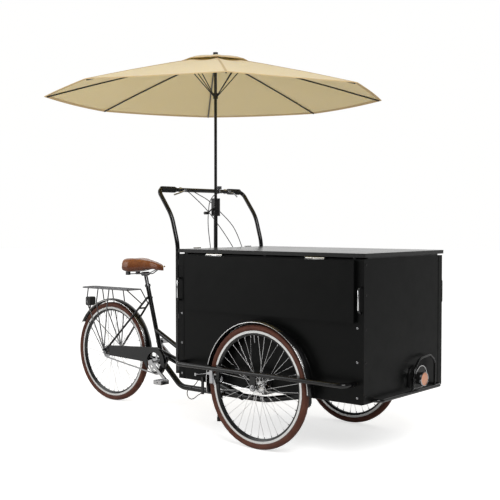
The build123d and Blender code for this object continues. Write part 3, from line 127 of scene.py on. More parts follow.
bpy.ops.mesh.primitive_plane_add(size=FLOOR_SIZE, location=(0, 0, 0))
floor = bpy.context.object
floor.name = "floor"
floor_paint, floor_tree, matt = new_material("floor")
matt.inputs["Base Color"].default_value = FLOOR_WHITE
matt.inputs["Roughness"].default_value = 0.9
matt.inputs["Specular IOR Level"].default_value = 0.1
matt.inputs["Emission Color"].default_value = BACKDROP_WHITE
floor_path = add_node(floor_tree, "ShaderNodeLightPath")
floor_seen = add_node(floor_tree, "ShaderNodeMath", {1: FLOOR_SHOWN}, operation="MULTIPLY")
wire(
    floor_tree,
    (floor_path, "Is Camera Ray", floor_seen, 0),
    (floor_seen, 0, matt, "Emission Strength"),
)
floor.data.materials.append(floor_paint)

# ---------------------------------------------------------------- painted steel tubes
# The frame, rails, handlebar and brackets are welded steel tube in black gloss powder coat.
# The coat has a faint ripple, a little dust, and rubs thin on handled edges.
def new_group(name, inputs, outputs):
    """Shader node group with its named inputs and outputs, and the two nodes that carry them."""
    group = bpy.data.node_groups.new(name, "ShaderNodeTree")
    for way, sockets in (("INPUT", inputs), ("OUTPUT", outputs)):
        for socket, kind in sockets.items():
            group.interface.new_socket(socket, in_out=way, socket_type=f"NodeSocket{kind}")
    return group, add_node(group, "NodeGroupInput"), add_node(group, "NodeGroupOutput")


RIPPLE_INPUTS = {"Scale": "Float", "Depth": "Float"}
ripple, ripple_in, ripple_out = new_group("ripple", RIPPLE_INPUTS, {"Normal": "Vector"})
ripple_place = add_node(ripple, "ShaderNodeTexCoord")
ripple_noise = add_node(ripple, "ShaderNodeTexNoise", {"Detail": 3.0, "Roughness": 0.5})
ripple_bump = add_node(ripple, "ShaderNodeBump", {"Strength": 0.6})
wire(
    ripple,
    (ripple_place, "Object", ripple_noise, "Vector"),
    (ripple_in, "Scale", ripple_noise, "Scale"),
    (ripple_in, "Depth", ripple_bump, "Distance"),
    (ripple_noise, "Fac", ripple_bump, "Height"),
    (ripple_bump, "Normal", ripple_out, "Normal"),
)

DUST_INPUTS = {"Scale": "Float", "Low": "Float", "High": "Float"}
dust, dust_in, dust_out = new_group("dust", DUST_INPUTS, {"Roughness": "Float"})
dust_place = add_node(dust, "ShaderNodeTexCoord")
dust_noise = add_node(dust, "ShaderNodeTexNoise", {"Detail": 6.0, "Roughness": 0.62})
dust_range = add_node(dust, "ShaderNodeMapRange", {"From Min": 0.3, "From Max": 0.7})
wire(
    dust,
    (dust_place, "Object", dust_noise, "Vector"),
    (dust_in, "Scale", dust_noise, "Scale"),
    (dust_noise, "Fac", dust_range, "Value"),
    (dust_in, "Low", dust_range, "To Min"),
    (dust_in, "High", dust_range, "To Max"),
    (dust_range, "Result", dust_out, "Roughness"),
)

WEAR_INPUTS = {"Paint": "Color", "Bare": "Color", "Amount": "Float"}
wear, wear_in, wear_out = new_group("edge wear", WEAR_INPUTS, {"Color": "Color"})
wear_place = add_node(wear, "ShaderNodeTexCoord")
wear_patch = add_node(wear, "ShaderNodeTexNoise", {"Scale": 9.0, "Detail": 8.0, "Roughness": 0.7})
wear_cut = add_node(wear, "ShaderNodeMapRange", {"From Min": 0.66, "From Max": 0.74})
wear_much = add_node(wear, "ShaderNodeMath", operation="MULTIPLY")
wear_mix = add_node(wear, "ShaderNodeMix", data_type="RGBA")
wire(
    wear,
    (wear_place, "Object", wear_patch, "Vector"),
    (wear_patch, "Fac", wear_cut, "Value"),
    (wear_cut, "Result", wear_much, 0),
    (wear_in, "Amount", wear_much, 1),
    (wear_much, 0, wear_mix, 0),
    (wear_in, "Paint", wear_mix, 6),
    (wear_in, "Bare", wear_mix, 7),
    (wear_mix, 2, wear_out, "Color"),
)


def finish_of(
    name,
    color,
    low,
    high,
    metal=0.0,
    coat=0.0,
    specular=0.5,
    grain=900.0,
    depth=0.00002,
    worn=None,
    patch=14.0,
):
    """Material with its colour patchy by wear, its roughness by dust, and a fine ripple in its surface."""
    bare = worn or [min(1, c * 1.35 + 0.004) for c in color]
    paint, tree, shader = new_material(name)
    shader.inputs["Metallic"].default_value = metal
    shader.inputs["Coat Weight"].default_value = coat
    shader.inputs["Coat Roughness"].default_value = 0.08
    shader.inputs["Specular IOR Level"].default_value = specular
    tint = add_node(tree, "ShaderNodeGroup", node_tree=wear)
    tint.inputs["Paint"].default_value = (*color, 1)
    tint.inputs["Bare"].default_value = (*bare, 1)
    tint.inputs["Amount"].default_value = 0.6
    rough = add_node(tree, "ShaderNodeGroup", {"Scale": patch, "Low": low, "High": high}, node_tree=dust)
    bumps = add_node(tree, "ShaderNodeGroup", {"Scale": grain, "Depth": depth}, node_tree=ripple)
    wire(
        tree,
        (tint, "Color", shader, "Base Color"),
        (rough, "Roughness", shader, "Roughness"),
        (bumps, "Normal", shader, "Normal"),
    )
    return paint


def paint_node(material, *names):
    """Gives CAD nodes one material all over."""
    for name in names:
        nodes[name].data.materials.clear()
        nodes[name].data.materials.append(material)


COAT_BLACK = (0.003, 0.003, 0.0032)
COAT_RUBBED = (0.006, 0.006, 0.006)
gloss_black = finish_of(
    "gloss black powder coat", COAT_BLACK, 0.12, 0.24, coat=0.2, specular=0.4, worn=COAT_RUBBED
)
paint_node(gloss_black, "frame_main", "frame_stays", "chain_guard", "stand_bracket", "prop_stand")
paint_node(gloss_black, "rear_mudguard", "front_mudguards", "under_frame", "king_pin", "side_rails")
paint_node(gloss_black, "inner_plates", "bumper", "handlebar_hoop", "back_fittings", "grab_handles")

# ---------------------------------------------------------------- box boards and flaps
# The box and its flaps are boards faced in satin black, held by black angles at the upright corners.
# The facing has a fine even grain that scatters light, so the flat sides stay dark.
BOARD_BLACK = (0.0022, 0.0024, 0.0023)
satin_black = finish_of("satin black panel", BOARD_BLACK, 0.3, 0.42, specular=0.14, grain=1400.0)
paint_node(satin_black, "box_floor", "box_front", "box_rear", "box_sides", "corner_angles")
paint_node(satin_black, "flap_right", "flap_left")

# ---------------------------------------------------------------- worktop
# The lid is a board with a smoother black face, wiped clean, so that it shines at a low angle.
# It is hinged at the back and rests on pads along the box's rim.
WORKTOP_BLACK = (0.008, 0.008, 0.008)
WORKTOP_RUBBED = (0.009, 0.009, 0.009)
lid_black = finish_of(
    "satin black worktop", WORKTOP_BLACK, 0.22, 0.27, grain=1400.0, worn=WORKTOP_RUBBED, patch=3.0
)
paint_node(lid_black, "lid")

# ---------------------------------------------------------------- chromed parts
# The crank, pedals, axles, levers and brakes are steel and alloy parts with a chrome plate.
# They bolt on, and the plate is a little dulled where hands and shoes touch it.
CHROME_DULL = (0.42, 0.42, 0.42)
chrome = finish_of("chrome plate", (0.5, 0.5, 0.51), 0.07, 0.2, metal=1.0, grain=300.0, worn=CHROME_DULL)
paint_node(chrome, "rear_axle", "front_axles", "crankset", "pedal_right", "pedal_left")
paint_node(chrome, "brake_levers", "rim_brakes")

# ---------------------------------------------------------------- rack and seat post
# The rack is bent and welded from steel rod, and the seat post is a drawn tube with its clamp and springs.
# Both have a dark bright-dipped plating.
dark_steel = finish_of("dark plated steel", (0.16, 0.16, 0.165), 0.16, 0.3, metal=1.0, grain=300.0)
paint_node(dark_steel, "rack", "seat_post")

# ---------------------------------------------------------------- hubs, spokes and hinges
# The hubs are turned alloy laced with drawn steel spokes, and the hinges are pressed from bright steel.
# The leaves are screwed to the box, the lid and the flaps.
spoke_steel = finish_of("bright spoke steel", (0.85, 0.85, 0.85), 0.15, 0.28, metal=1.0)
paint_node(spoke_steel, "hub_rear", "hub_front_right", "hub_front_left")
paint_node(spoke_steel, "lid_hinge_fixed", "lid_hinge_leaf", "flap_hinge_fixed")
paint_node(spoke_steel, "flap_leaf_right", "flap_leaf_left")

# ---------------------------------------------------------------- chain and sprocket
# The chain's plates and the sprocket are pressed steel with a grey zinc plating.
# The chain runs in its guard, and the sprocket is screwed on the rear hub.
steel = finish_of("zinc plated steel", (0.42, 0.42, 0.43), 0.22, 0.4, metal=1.0, grain=500.0)
paint_node(steel, "chain", "rear_sprocket")

# ---------------------------------------------------------------- black plastic and cables
# The lamp cases, grips and lid pads are moulded black plastic, and each brake cable runs in a black sleeve.
# The sleeves are held by clips on the box's back and underneath.
plastic = finish_of("black plastic", (0.006, 0.006, 0.006), 0.35, 0.5)
paint_node(plastic, "tail_lamp", "head_lamp", "grips", "lid_pads")
paint_node(plastic, "cable_front_left", "cable_front_right", "cable_rear")

# ---------------------------------------------------------------- parasol frame
# The pole is a steel tube in two sizes with a winder between, and ribs hang from the crown at its top.
# All of it has a thin black coat.
pole_black = finish_of("black pole", (0.004, 0.004, 0.004), 0.2, 0.3, worn=COAT_RUBBED)
paint_node(pole_black, "parasol_pole", "crown", "ribs")

# ---------------------------------------------------------------- parasol cloth
# Eight sewn panels of woven sand-coloured cloth are stretched over the ribs, with a small vent cap above.
# Each is one sheet, drawn out ring by ring from the pole and turned under at a stitched hem.
POLE_AT = Vector((-0.067, 0.0, 0.0))
PANEL_ANGLE = math.pi / 4


def nothing_selected():
    """Leaves every object unselected, ready for the next primitive."""
    if bpy.context.mode != "OBJECT":
        bpy.ops.object.mode_set(mode="OBJECT")
    bpy.ops.object.select_all(action="DESELECT")


def edit_all():
    """Opens the active piece for editing with all of it selected."""
    bpy.ops.object.mode_set(mode="EDIT")
    bpy.ops.mesh.select_all(action="SELECT")


def close_up():
    """Turns the faces of the piece in edit mode outwards, and leaves edit mode."""
    bpy.ops.mesh.select_all(action="SELECT")
    bpy.ops.mesh.normals_make_consistent(inside=False)
    bpy.ops.object.mode_set(mode="OBJECT")


def settle(piece, name, body, slot_name, *materials, smooth=30):
    """Names a piece, puts its place into its mesh, and gives it its finish and the body it rides on."""
    nothing_selected()
    piece.select_set(True)
    bpy.context.view_layer.objects.active = piece
    bpy.ops.object.transform_apply(location=True, rotation=True, scale=True)
    bpy.ops.object.shade_smooth_by_angle(angle=math.radians(smooth))
    piece.name = name
    piece.data.name = name
    piece.data.materials.clear()
    for material in materials:
        piece.data.materials.append(material)
    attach(piece, body)
    return piece


def apply_modifier(piece, kind, **settings):
    """Adds one modifier with its settings and applies it."""
    nothing_selected()
    piece.select_set(True)
    bpy.context.view_layer.objects.active = piece
    step = piece.modifiers.new(kind.title(), kind)
    for setting, value in settings.items():
        setattr(step, setting, value)
    bpy.ops.object.modifier_apply(modifier=step.name)


def height_between(corners, radius):
    """Height at a radius, along a ridge given by its (radius, height) corners."""
    for (r_in, z_in), (r_out, z_out) in zip(corners, corners[1:]):
        if radius <= r_out:
            break
    return z_in + (z_out - z_in) * (radius - r_in) / (r_out - r_in)


def stretched_cloth(corners, span, rings, columns, bow, sag, lift=0.0):
    """Sheet over eight ridges, drawn out ring by ring; it bows out at the hem and dips between ridges."""
    sag_start, sag_share = 0.15, 0.75
    nothing_selected()
    r_in, r_out = span
    bpy.ops.mesh.primitive_circle_add(vertices=8 * columns, radius=r_in, fill_type="NOTHING")
    piece = bpy.context.object
    edit_all()
    for ring in range(rings):
        wider = (r_in + (r_out - r_in) * (ring + 1) / rings) / (r_in + (r_out - r_in) * ring / rings)
        bpy.ops.mesh.extrude_edges_move()
        bpy.ops.transform.resize(value=(wider, wider, 1))
    bpy.ops.object.mode_set(mode="OBJECT")
    for point in piece.data.vertices:
        ridge_r = point.co.xy.length
        angle = math.atan2(point.co.y, point.co.x)
        off = (angle / PANEL_ANGLE - math.floor(angle / PANEL_ANGLE + 1e-6)) - 0.5
        middle = 1 - (2 * off) ** 2
        out = (ridge_r - corners[0][0]) / (corners[-1][0] - corners[0][0])
        r = ridge_r * math.cos(PANEL_ANGLE / 2) / math.cos(off * PANEL_ANGLE) * (1 + bow * middle * out**3)
        dip = sag * middle * math.sin(math.pi * min(1, sag_start + sag_share * out))
        z = height_between(corners, ridge_r) - dip
        point.co = POLE_AT + Vector((r * math.cos(angle), r * math.sin(angle), z + lift))
    bpy.ops.object.mode_set(mode="EDIT")
    close_up()
    if sum(face.normal.z for face in piece.data.polygons) < 0:
        bpy.ops.object.mode_set(mode="EDIT")
        bpy.ops.mesh.flip_normals()
        bpy.ops.object.mode_set(mode="OBJECT")
    return piece


WEAVE_INPUTS = {"Threads": "Float", "Depth": "Float"}
weave, weave_in, weave_out = new_group("woven threads", WEAVE_INPUTS, {"Normal": "Vector", "Mask": "Float"})
weave_place = add_node(weave, "ShaderNodeTexCoord")
warp = add_node(weave, "ShaderNodeTexWave", {"Distortion": 0.6}, bands_direction="X")
weft = add_node(weave, "ShaderNodeTexWave", {"Distortion": 0.6}, bands_direction="Y")
crossing = add_node(weave, "ShaderNodeMath", operation="MAXIMUM")
weave_bump = add_node(weave, "ShaderNodeBump", {"Strength": 0.5})
for thread in (warp, weft):
    wire(
        weave,
        (weave_place, "Object", thread, "Vector"),
        (weave_in, "Threads", thread, "Scale"),
    )
wire(
    weave,
    (warp, "Fac", crossing, 0),
    (weft, "Fac", crossing, 1),
    (crossing, 0, weave_bump, "Height"),
    (weave_in, "Depth", weave_bump, "Distance"),
    (weave_bump, "Normal", weave_out, "Normal"),
    (crossing, 0, weave_out, "Mask"),
)


def cloth_of(name, light, dark, glow):
    """Woven cloth that lets some light through, with faded patches and a fine thread."""
    cloth, tree, shader = new_material(name)
    shader.inputs["Subsurface Weight"].default_value = glow
    shader.inputs["Subsurface Radius"].default_value = (1.0, 0.85, 0.5)
    shader.inputs["Subsurface Scale"].default_value = 0.012
    shader.inputs["Specular IOR Level"].default_value = 0.15
    threads = add_node(tree, "ShaderNodeGroup", {"Threads": 210.0, "Depth": 0.0003}, node_tree=weave)
    faded = add_node(tree, "ShaderNodeGroup", {"Scale": 2.6, "Low": 0.0, "High": 1.0}, node_tree=dust)
    by_thread = add_node(tree, "ShaderNodeMix", {6: (*light, 1), 7: (*dark, 1)}, data_type="RGBA")
    by_patch = add_node(tree, "ShaderNodeMix", {0: 0.5}, data_type="RGBA", blend_type="MULTIPLY")
    patch_tone = add_node(tree, "ShaderNodeMapRange", {"To Min": 0.93, "To Max": 1.0})
    rough = add_node(tree, "ShaderNodeGroup", {"Scale": 30.0, "Low": 0.82, "High": 0.95}, node_tree=dust)
    wire(
        tree,
        (threads, "Mask", by_thread, 0),
        (faded, "Roughness", patch_tone, "Value"),
        (by_thread, 2, by_patch, 6),
        (patch_tone, "Result", by_patch, 7),
        (by_patch, 2, shader, "Base Color"),
        (threads, "Normal", shader, "Normal"),
        (rough, "Roughness", shader, "Roughness"),
    )
    return cloth


sand_cloth = cloth_of("sand parasol cloth", (0.76, 0.56, 0.33), (0.84, 0.64, 0.4), 0.6)
hem_cloth = cloth_of("stitched hem cloth", (0.6, 0.42, 0.22), (0.66, 0.48, 0.26), 0.2)
CLOTH_T = 0.0016
HEM_T = 0.0032
HEM_LIFT = 0.0006
SEAM_T = 0.0008
SEAM_LIFT = 0.0012
SEAM_SPAN = (0.066, 1.012)
SEAM_HALF_W = 0.006
# Tangent of half a panel's angle
SEAM_FALL = 0.414
CANOPY_RINGS = 22
CANOPY_COLUMNS = 14
CAP_RINGS = 8
CAP_COLUMNS = 8
RIDGE = [(0.060, 2.190), (0.380, 2.114), (0.700, 2.033), (1.022, 1.946)]
CAP_RIDGE = [(0.022, 2.206), (0.110, 2.194), (0.175, 2.180), (0.220, 2.164)]
CANOPY_EASE = {"bow": 0.014, "sag": 0.012}
CAP_EASE = {"bow": 0.012, "sag": 0.002}
canopy_sheet = stretched_cloth(RIDGE, (0.060, 1.022), CANOPY_RINGS, CANOPY_COLUMNS, **CANOPY_EASE)
cap_sheet = stretched_cloth(CAP_RIDGE, (0.022, 0.220), CAP_RINGS, CAP_COLUMNS, **CAP_EASE)
hem = stretched_cloth(RIDGE, (0.996, 1.0222), 1, CANOPY_COLUMNS, lift=HEM_LIFT, **CANOPY_EASE)
cap_hem = stretched_cloth(CAP_RIDGE, (0.210, 0.2202), 1, CAP_COLUMNS, lift=HEM_LIFT, **CAP_EASE)

nothing_selected()
bpy.ops.mesh.primitive_grid_add(x_subdivisions=32, y_subdivisions=2, size=2)
seams = bpy.context.object
for point in seams.data.vertices:
    r = SEAM_SPAN[0] + (point.co.x + 1) / 2 * (SEAM_SPAN[1] - SEAM_SPAN[0])
    aside = point.co.y * SEAM_HALF_W
    point.co = Vector((r, aside, height_between(RIDGE, r + abs(aside) * SEAM_FALL) + SEAM_LIFT))
edit_all()
for _ in range(7):
    bpy.ops.mesh.duplicate()
    bpy.ops.transform.rotate(value=-PANEL_ANGLE, orient_axis="Z", center_override=(0, 0, 0))
bpy.ops.object.mode_set(mode="OBJECT")
for point in seams.data.vertices:
    point.co += POLE_AT

apply_modifier(hem, "SOLIDIFY", thickness=HEM_T, offset=-1.0)
apply_modifier(cap_hem, "SOLIDIFY", thickness=HEM_T, offset=-1.0)
apply_modifier(seams, "SOLIDIFY", thickness=SEAM_T, offset=-1.0)
apply_modifier(canopy_sheet, "SOLIDIFY", thickness=CLOTH_T, offset=-1.0)
apply_modifier(cap_sheet, "SOLIDIFY", thickness=CLOTH_T, offset=-1.0)
settle(canopy_sheet, "canopy_cloth", "front_module", "canopy_cloth", sand_cloth, smooth=9)
settle(cap_sheet, "canopy_cap", "front_module", "canopy_cloth", sand_cloth, smooth=9)
settle(hem, "canopy_hem", "front_module", "canopy_cloth", hem_cloth, smooth=9)
settle(cap_hem, "cap_hem", "front_module", "canopy_cloth", hem_cloth, smooth=9)
settle(seams, "canopy_seams", "front_module", "canopy_cloth", hem_cloth)
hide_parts("canopy")

# ---------------------------------------------------------------- saddle
# A sprung saddle of thick copper-brown leather, crowned behind and drawn out to a narrow nose.
# It is one padded form, shaped along its length, with brass rivets at the back and the nose.
SADDLE_REAR = -0.842
SADDLE_LENGTH = 0.326
SIDE_FULLNESS = 0.5
CROWN_FULLNESS = 0.6
DIP_DEPTH = 0.006
REAR_ROUNDING = 12
NOSE_ROUNDING = 14
# Share of the length from the back, half-width, top height and depth of the skirt, in metres
SADDLE_SHAPE = [
    (0.00, 0.070, 0.945, 0.060),
    (0.04, 0.092, 0.958, 0.080),
    (0.14, 0.104, 0.964, 0.090),
    (0.27, 0.103, 0.965, 0.092),
    (0.42, 0.080, 0.962, 0.082),
    (0.58, 0.048, 0.954, 0.064),
    (0.74, 0.031, 0.945, 0.050),
    (0.90, 0.026, 0.931, 0.042),
    (1.00, 0.016, 0.917, 0.030),
]


def along_saddle(share, column):
    """Smoothly joined size of the saddle at a share of its length."""
    for before, after in zip(SADDLE_SHAPE, SADDLE_SHAPE[1:]):
        if share <= after[0]:
            break
    step = (share - before[0]) / (after[0] - before[0])
    step = step * step * (3 - 2 * step)
    return before[column] + (after[column] - before[column]) * step


nothing_selected()
bpy.ops.mesh.primitive_cube_add(size=2)
saddle = bpy.context.object
edit_all()
bpy.ops.mesh.subdivide(number_cuts=19)
bpy.ops.object.mode_set(mode="OBJECT")
for point in saddle.data.vertices:
    share, across_v, up_w = (point.co.x + 1) / 2, point.co.y, point.co.z
    reach = max(abs(across_v), abs(up_w))
    turn = math.atan2(up_w, across_v)
    c, s = math.cos(turn), math.sin(turn)
    side_out = math.copysign(abs(c) ** SIDE_FULLNESS, c) * reach
    height_out = math.copysign(abs(s) ** CROWN_FULLNESS, s) * reach
    half, top, depth = (along_saddle(share, column) for column in (1, 2, 3))
    skirt = half * (0.93 - 0.07 * height_out)
    z = top - depth / 2 + depth / 2 * height_out
    dip = DIP_DEPTH * math.exp(-((side_out / 0.4) ** 2)) * max(0.0, height_out) * (1 - share) ** 0.5
    end = min(1.0, REAR_ROUNDING * share, NOSE_ROUNDING * (1 - share))
    point.co = Vector((SADDLE_REAR + SADDLE_LENGTH * share, side_out * skirt * end**0.35, z - dip))
apply_modifier(saddle, "SUBSURF", levels=1, render_levels=1)

HIDE_INPUTS = {"Scale": "Float", "Depth": "Float"}
hide, hide_in, hide_out = new_group("leather grain", HIDE_INPUTS, {"Normal": "Vector", "Mask": "Float"})
hide_place = add_node(hide, "ShaderNodeTexCoord")
pores = add_node(hide, "ShaderNodeTexVoronoi", feature="DISTANCE_TO_EDGE")
creases = add_node(hide, "ShaderNodeTexNoise", {"Detail": 5.0, "Scale": 40.0})
hide_height = add_node(hide, "ShaderNodeMath", operation="ADD")
hide_bump = add_node(hide, "ShaderNodeBump", {"Strength": 0.5})
wire(
    hide,
    (hide_place, "Object", pores, "Vector"),
    (hide_place, "Object", creases, "Vector"),
    (hide_in, "Scale", pores, "Scale"),
    (pores, "Distance", hide_height, 0),
    (creases, "Fac", hide_height, 1),
    (hide_height, 0, hide_bump, "Height"),
    (hide_in, "Depth", hide_bump, "Distance"),
    (hide_bump, "Normal", hide_out, "Normal"),
    (creases, "Fac", hide_out, "Mask"),
)

copper_leather, leather_tree, leather_shader = new_material("copper brown leather")
leather_shader.inputs["Coat Weight"].default_value = 0.15
leather_shader.inputs["Coat Roughness"].default_value = 0.25
leather_shader.inputs["Specular IOR Level"].default_value = 0.4
grain = add_node(leather_tree, "ShaderNodeGroup", {"Scale": 520.0, "Depth": 0.0004}, node_tree=hide)
leather_place = add_node(leather_tree, "ShaderNodeTexCoord")
leather_up = add_node(leather_tree, "ShaderNodeSeparateXYZ")
# The leather colour is blended by height: a painted shade darkens the skirt towards its bottom, and a
# painted highlight lightens the crown.
painted_skirt_shade = add_node(leather_tree, "ShaderNodeMapRange", {"From Min": 0.9, "From Max": 0.958})
SKIRT_PAINTED_SHADE_BROWN = (0.1, 0.024, 0.006, 1)
TOP_PAINTED_LIGHT_COPPER = (0.33, 0.115, 0.032, 1)
MOTTLE_BROWN = (0.16, 0.045, 0.012, 1)
lit_top_shaded_skirt = add_node(leather_tree, "ShaderNodeMix", {6: SKIRT_PAINTED_SHADE_BROWN, 7: TOP_PAINTED_LIGHT_COPPER}, data_type="RGBA")
mottle = add_node(leather_tree, "ShaderNodeMix", {7: MOTTLE_BROWN}, data_type="RGBA")
MOTTLED_SHARE = {"From Min": 0.45, "From Max": 0.75, "To Max": 0.6}
mottle_much = add_node(leather_tree, "ShaderNodeMapRange", MOTTLED_SHARE)
POLISHED_LEATHER = {"Scale": 30.0, "Low": 0.22, "High": 0.36}
leather_rough = add_node(leather_tree, "ShaderNodeGroup", POLISHED_LEATHER, node_tree=dust)
wire(
    leather_tree,
    (leather_place, "Object", leather_up, 0),
    (leather_up, "Z", painted_skirt_shade, "Value"),
    (painted_skirt_shade, "Result", lit_top_shaded_skirt, 0),
    (lit_top_shaded_skirt, 2, mottle, 6),
    (grain, "Mask", mottle_much, "Value"),
    (mottle_much, "Result", mottle, 0),
    (mottle, 2, leather_shader, "Base Color"),
    (grain, "Normal", leather_shader, "Normal"),
    (leather_rough, "Roughness", leather_shader, "Roughness"),
)
settle(saddle, "saddle_leather", "rear_frame", "saddle_leather", copper_leather, smooth=60)
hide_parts("saddle")

# ---------------------------------------------------------------- tyres
# Brown rubber balloon tyres with moulded tread: a middle rib, side ribs cut into blocks, and plain walls.
# One tread section is spun about the axle; each wheel has its own copy.
WHEEL_R = 0.330
FRONT_AXLE = (0.623, 0.330)
REAR_AXLE = (-0.993, 0.330)
HALF_TRACK = 0.436
WHEEL_PLACES = [
    ("front_right", "front_wheel_right", *FRONT_AXLE, -HALF_TRACK),
    ("front_left", "front_wheel_left", *FRONT_AXLE, HALF_TRACK),
    ("rear", "rear_wheel", *REAR_AXLE, 0.0),
]
TYRE_HALF_W = 0.024
TYRE_HALF_TALL = 0.0170
TREAD_STEPS = 144
STEPS_PER_BLOCK = 3
BLOCK_BAND = (0.0140, 0.0202)
BLOCK_CUT = 0.0012


def tyre_radius(across_w):
    """Outer radius of the smooth tyre at a distance from its middle plane."""
    bulge = math.sqrt(max(0.0, 1 - (across_w / TYRE_HALF_W) ** 2))
    return WHEEL_R - TYRE_HALF_TALL + TYRE_HALF_TALL * bulge


OUTER_GROOVE = ((0.0172, 0.0), (0.0166, 0.0016), (0.0154, 0.0016), (0.0148, 0.0))
INNER_GROOVE = ((0.0094, 0.0), (0.0088, 0.0018), (0.0074, 0.0018), (0.0068, 0.0))
section = [(0.0105, 0.2955), (0.0128, 0.2975), (0.0195, 0.3035), (0.0228, 0.3085), (0.0240, 0.3130)]
section += [(w, tyre_radius(w)) for w in (0.0232, 0.0218, 0.0200)]
section += [(w, tyre_radius(w) - cut) for w, cut in OUTER_GROOVE + INNER_GROOVE]
section += [(0.0, WHEEL_R)]
section += [(-w, r) for w, r in reversed(section[:-1])]
nothing_selected()
bpy.ops.mesh.primitive_circle_add(vertices=len(section), radius=0.01, fill_type="NOTHING")
tyre = bpy.context.object
for point, (w, r) in zip(tyre.data.vertices, section):
    point.co = Vector((r, w, 0))
edit_all()
bpy.ops.mesh.spin(steps=TREAD_STEPS, angle=2 * math.pi, center=(0, 0, 0), axis=(0, 1, 0))
bpy.ops.mesh.select_all(action="SELECT")
bpy.ops.mesh.remove_doubles(threshold=0.00002)
bpy.ops.mesh.normals_make_consistent(inside=False)
bpy.ops.object.mode_set(mode="OBJECT")
for point in tyre.data.vertices:
    r = point.co.xz.length
    around = math.atan2(point.co.z, point.co.x) / (2 * math.pi) * TREAD_STEPS
    edge_of_tread = BLOCK_BAND[0] < abs(point.co.y) < BLOCK_BAND[1]
    if edge_of_tread and round(around) % STEPS_PER_BLOCK == 0:
        point.co.x *= (r - BLOCK_CUT) / r
        point.co.z *= (r - BLOCK_CUT) / r

rubber, rubber_tree, rubber_shader = new_material("moulded tyre rubber")
rubber_shader.inputs["Specular IOR Level"].default_value = 0.3
FADED_RUBBER = {"Scale": 18.0, "Low": 0.0, "High": 1.0}
rubber_tint = add_node(rubber_tree, "ShaderNodeGroup", FADED_RUBBER, node_tree=dust)
RUBBER_DARK = (0.062, 0.016, 0.008, 1)
RUBBER_LIGHT = (0.105, 0.034, 0.018, 1)
rubber_mix = add_node(rubber_tree, "ShaderNodeMix", {6: RUBBER_DARK, 7: RUBBER_LIGHT}, data_type="RGBA")
SCUFFED_RUBBER = {"Scale": 60.0, "Low": 0.48, "High": 0.68}
rubber_rough = add_node(rubber_tree, "ShaderNodeGroup", SCUFFED_RUBBER, node_tree=dust)
rubber_grain = add_node(rubber_tree, "ShaderNodeGroup", {"Scale": 900.0, "Depth": 0.0001}, node_tree=ripple)
wire(
    rubber_tree,
    (rubber_tint, "Roughness", rubber_mix, 0),
    (rubber_mix, 2, rubber_shader, "Base Color"),
    (rubber_rough, "Roughness", rubber_shader, "Roughness"),
    (rubber_grain, "Normal", rubber_shader, "Normal"),
)


def copied(piece, turn=None, place=(0, 0, 0)):
    """Copy of a piece with a mesh of its own, turned about its origin and moved to its place."""
    twin = piece.copy()
    twin.data = piece.data.copy()
    twin.matrix_world = Matrix.Translation(place) @ (turn or Matrix.Identity(4))
    bpy.context.scene.collection.objects.link(twin)
    return twin


def joined(pieces):
    """One piece made of several."""
    nothing_selected()
    for piece in pieces:
        piece.select_set(True)
    bpy.context.view_layer.objects.active = pieces[0]
    bpy.ops.object.join()
    return pieces[0]


for name, body, x, z, y in WHEEL_PLACES:
    own = copied(tyre, place=(x, y, z))
    settle(own, f"tread_{name}", body, "tyre_brown", rubber, smooth=35)
    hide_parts(f"tyre_{name}")
bpy.data.objects.remove(tyre)

# ---------------------------------------------------------------- rims, spoke nipples and valves
# The rims are box-section alloy, polished where the brake pads run and black anodised inside that.
# Each spoke ends in a plated nipple, and the tube's valve stands between two spokes.
BRIGHT_BAND = {"From Min": 0.2852, "From Max": 0.2858}
RIM_BLACK = (0.01, 0.01, 0.01, 1)
RIM_BRIGHT = (0.86, 0.86, 0.85, 1)
TURNING_RINGS = 2600.0


def rim_finish(name, axle):
    """Alloy that is bright in a band at the rim's edge and black nearer the axle."""
    metal, tree, shader = new_material(name)
    place = add_node(tree, "ShaderNodeTexCoord")
    centred = add_node(tree, "ShaderNodeMapping", {"Location": (-axle[0], 0, -axle[1])})
    flat = add_node(tree, "ShaderNodeVectorMath", {1: (1, 0, 1)}, operation="MULTIPLY")
    radius = add_node(tree, "ShaderNodeVectorMath", operation="LENGTH")
    band = add_node(tree, "ShaderNodeMapRange", BRIGHT_BAND)
    tint = add_node(tree, "ShaderNodeMix", {6: RIM_BLACK, 7: RIM_BRIGHT}, data_type="RGBA")
    ring_count = add_node(tree, "ShaderNodeMath", {1: TURNING_RINGS}, operation="MULTIPLY")
    rings = add_node(tree, "ShaderNodeMath", operation="SINE")
    scratch = add_node(tree, "ShaderNodeBump", {"Strength": 0.2, "Distance": 0.0001})
    rough = add_node(tree, "ShaderNodeGroup", {"Scale": 25.0, "Low": 0.22, "High": 0.36}, node_tree=dust)
    wire(
        tree,
        (place, "Object", centred, "Vector"),
        (centred, "Vector", flat, 0),
        (flat, "Vector", radius, 0),
        (radius, "Value", band, "Value"),
        (radius, "Value", ring_count, 0),
        (ring_count, 0, rings, 0),
        (rings, 0, scratch, "Height"),
        (band, "Result", tint, 0),
        (band, "Result", shader, "Metallic"),
        (tint, 2, shader, "Base Color"),
        (scratch, "Normal", shader, "Normal"),
        (rough, "Roughness", shader, "Roughness"),
    )
    return metal


front_rim = rim_finish("front rim alloy", FRONT_AXLE)
rear_rim = rim_finish("rear rim alloy", REAR_AXLE)
paint_node(front_rim, "rim_front_right", "rim_front_left")
paint_node(rear_rim, "rim_rear")

SPOKES = 36
NIPPLE_PLACE_R = 0.2685
NIPPLE_ASIDE = 0.002
NIPPLE_R = 0.0028
NIPPLE_LENGTH = 0.012
NIPPLE_EDGE = 0.0006
VALVE_PLACE_R = 0.258
VALVE_ANGLE = math.radians(95)
VALVE_R = 0.0035
VALVE_LENGTH = 0.036
VALVE_STEP = 0.0012
VALVE_STEM = 0.008


def edges_broken(width, segments):
    """Bevels every edge of the active piece."""
    edit_all()
    bpy.ops.mesh.bevel(offset=width, segments=segments)
    bpy.ops.object.mode_set(mode="OBJECT")


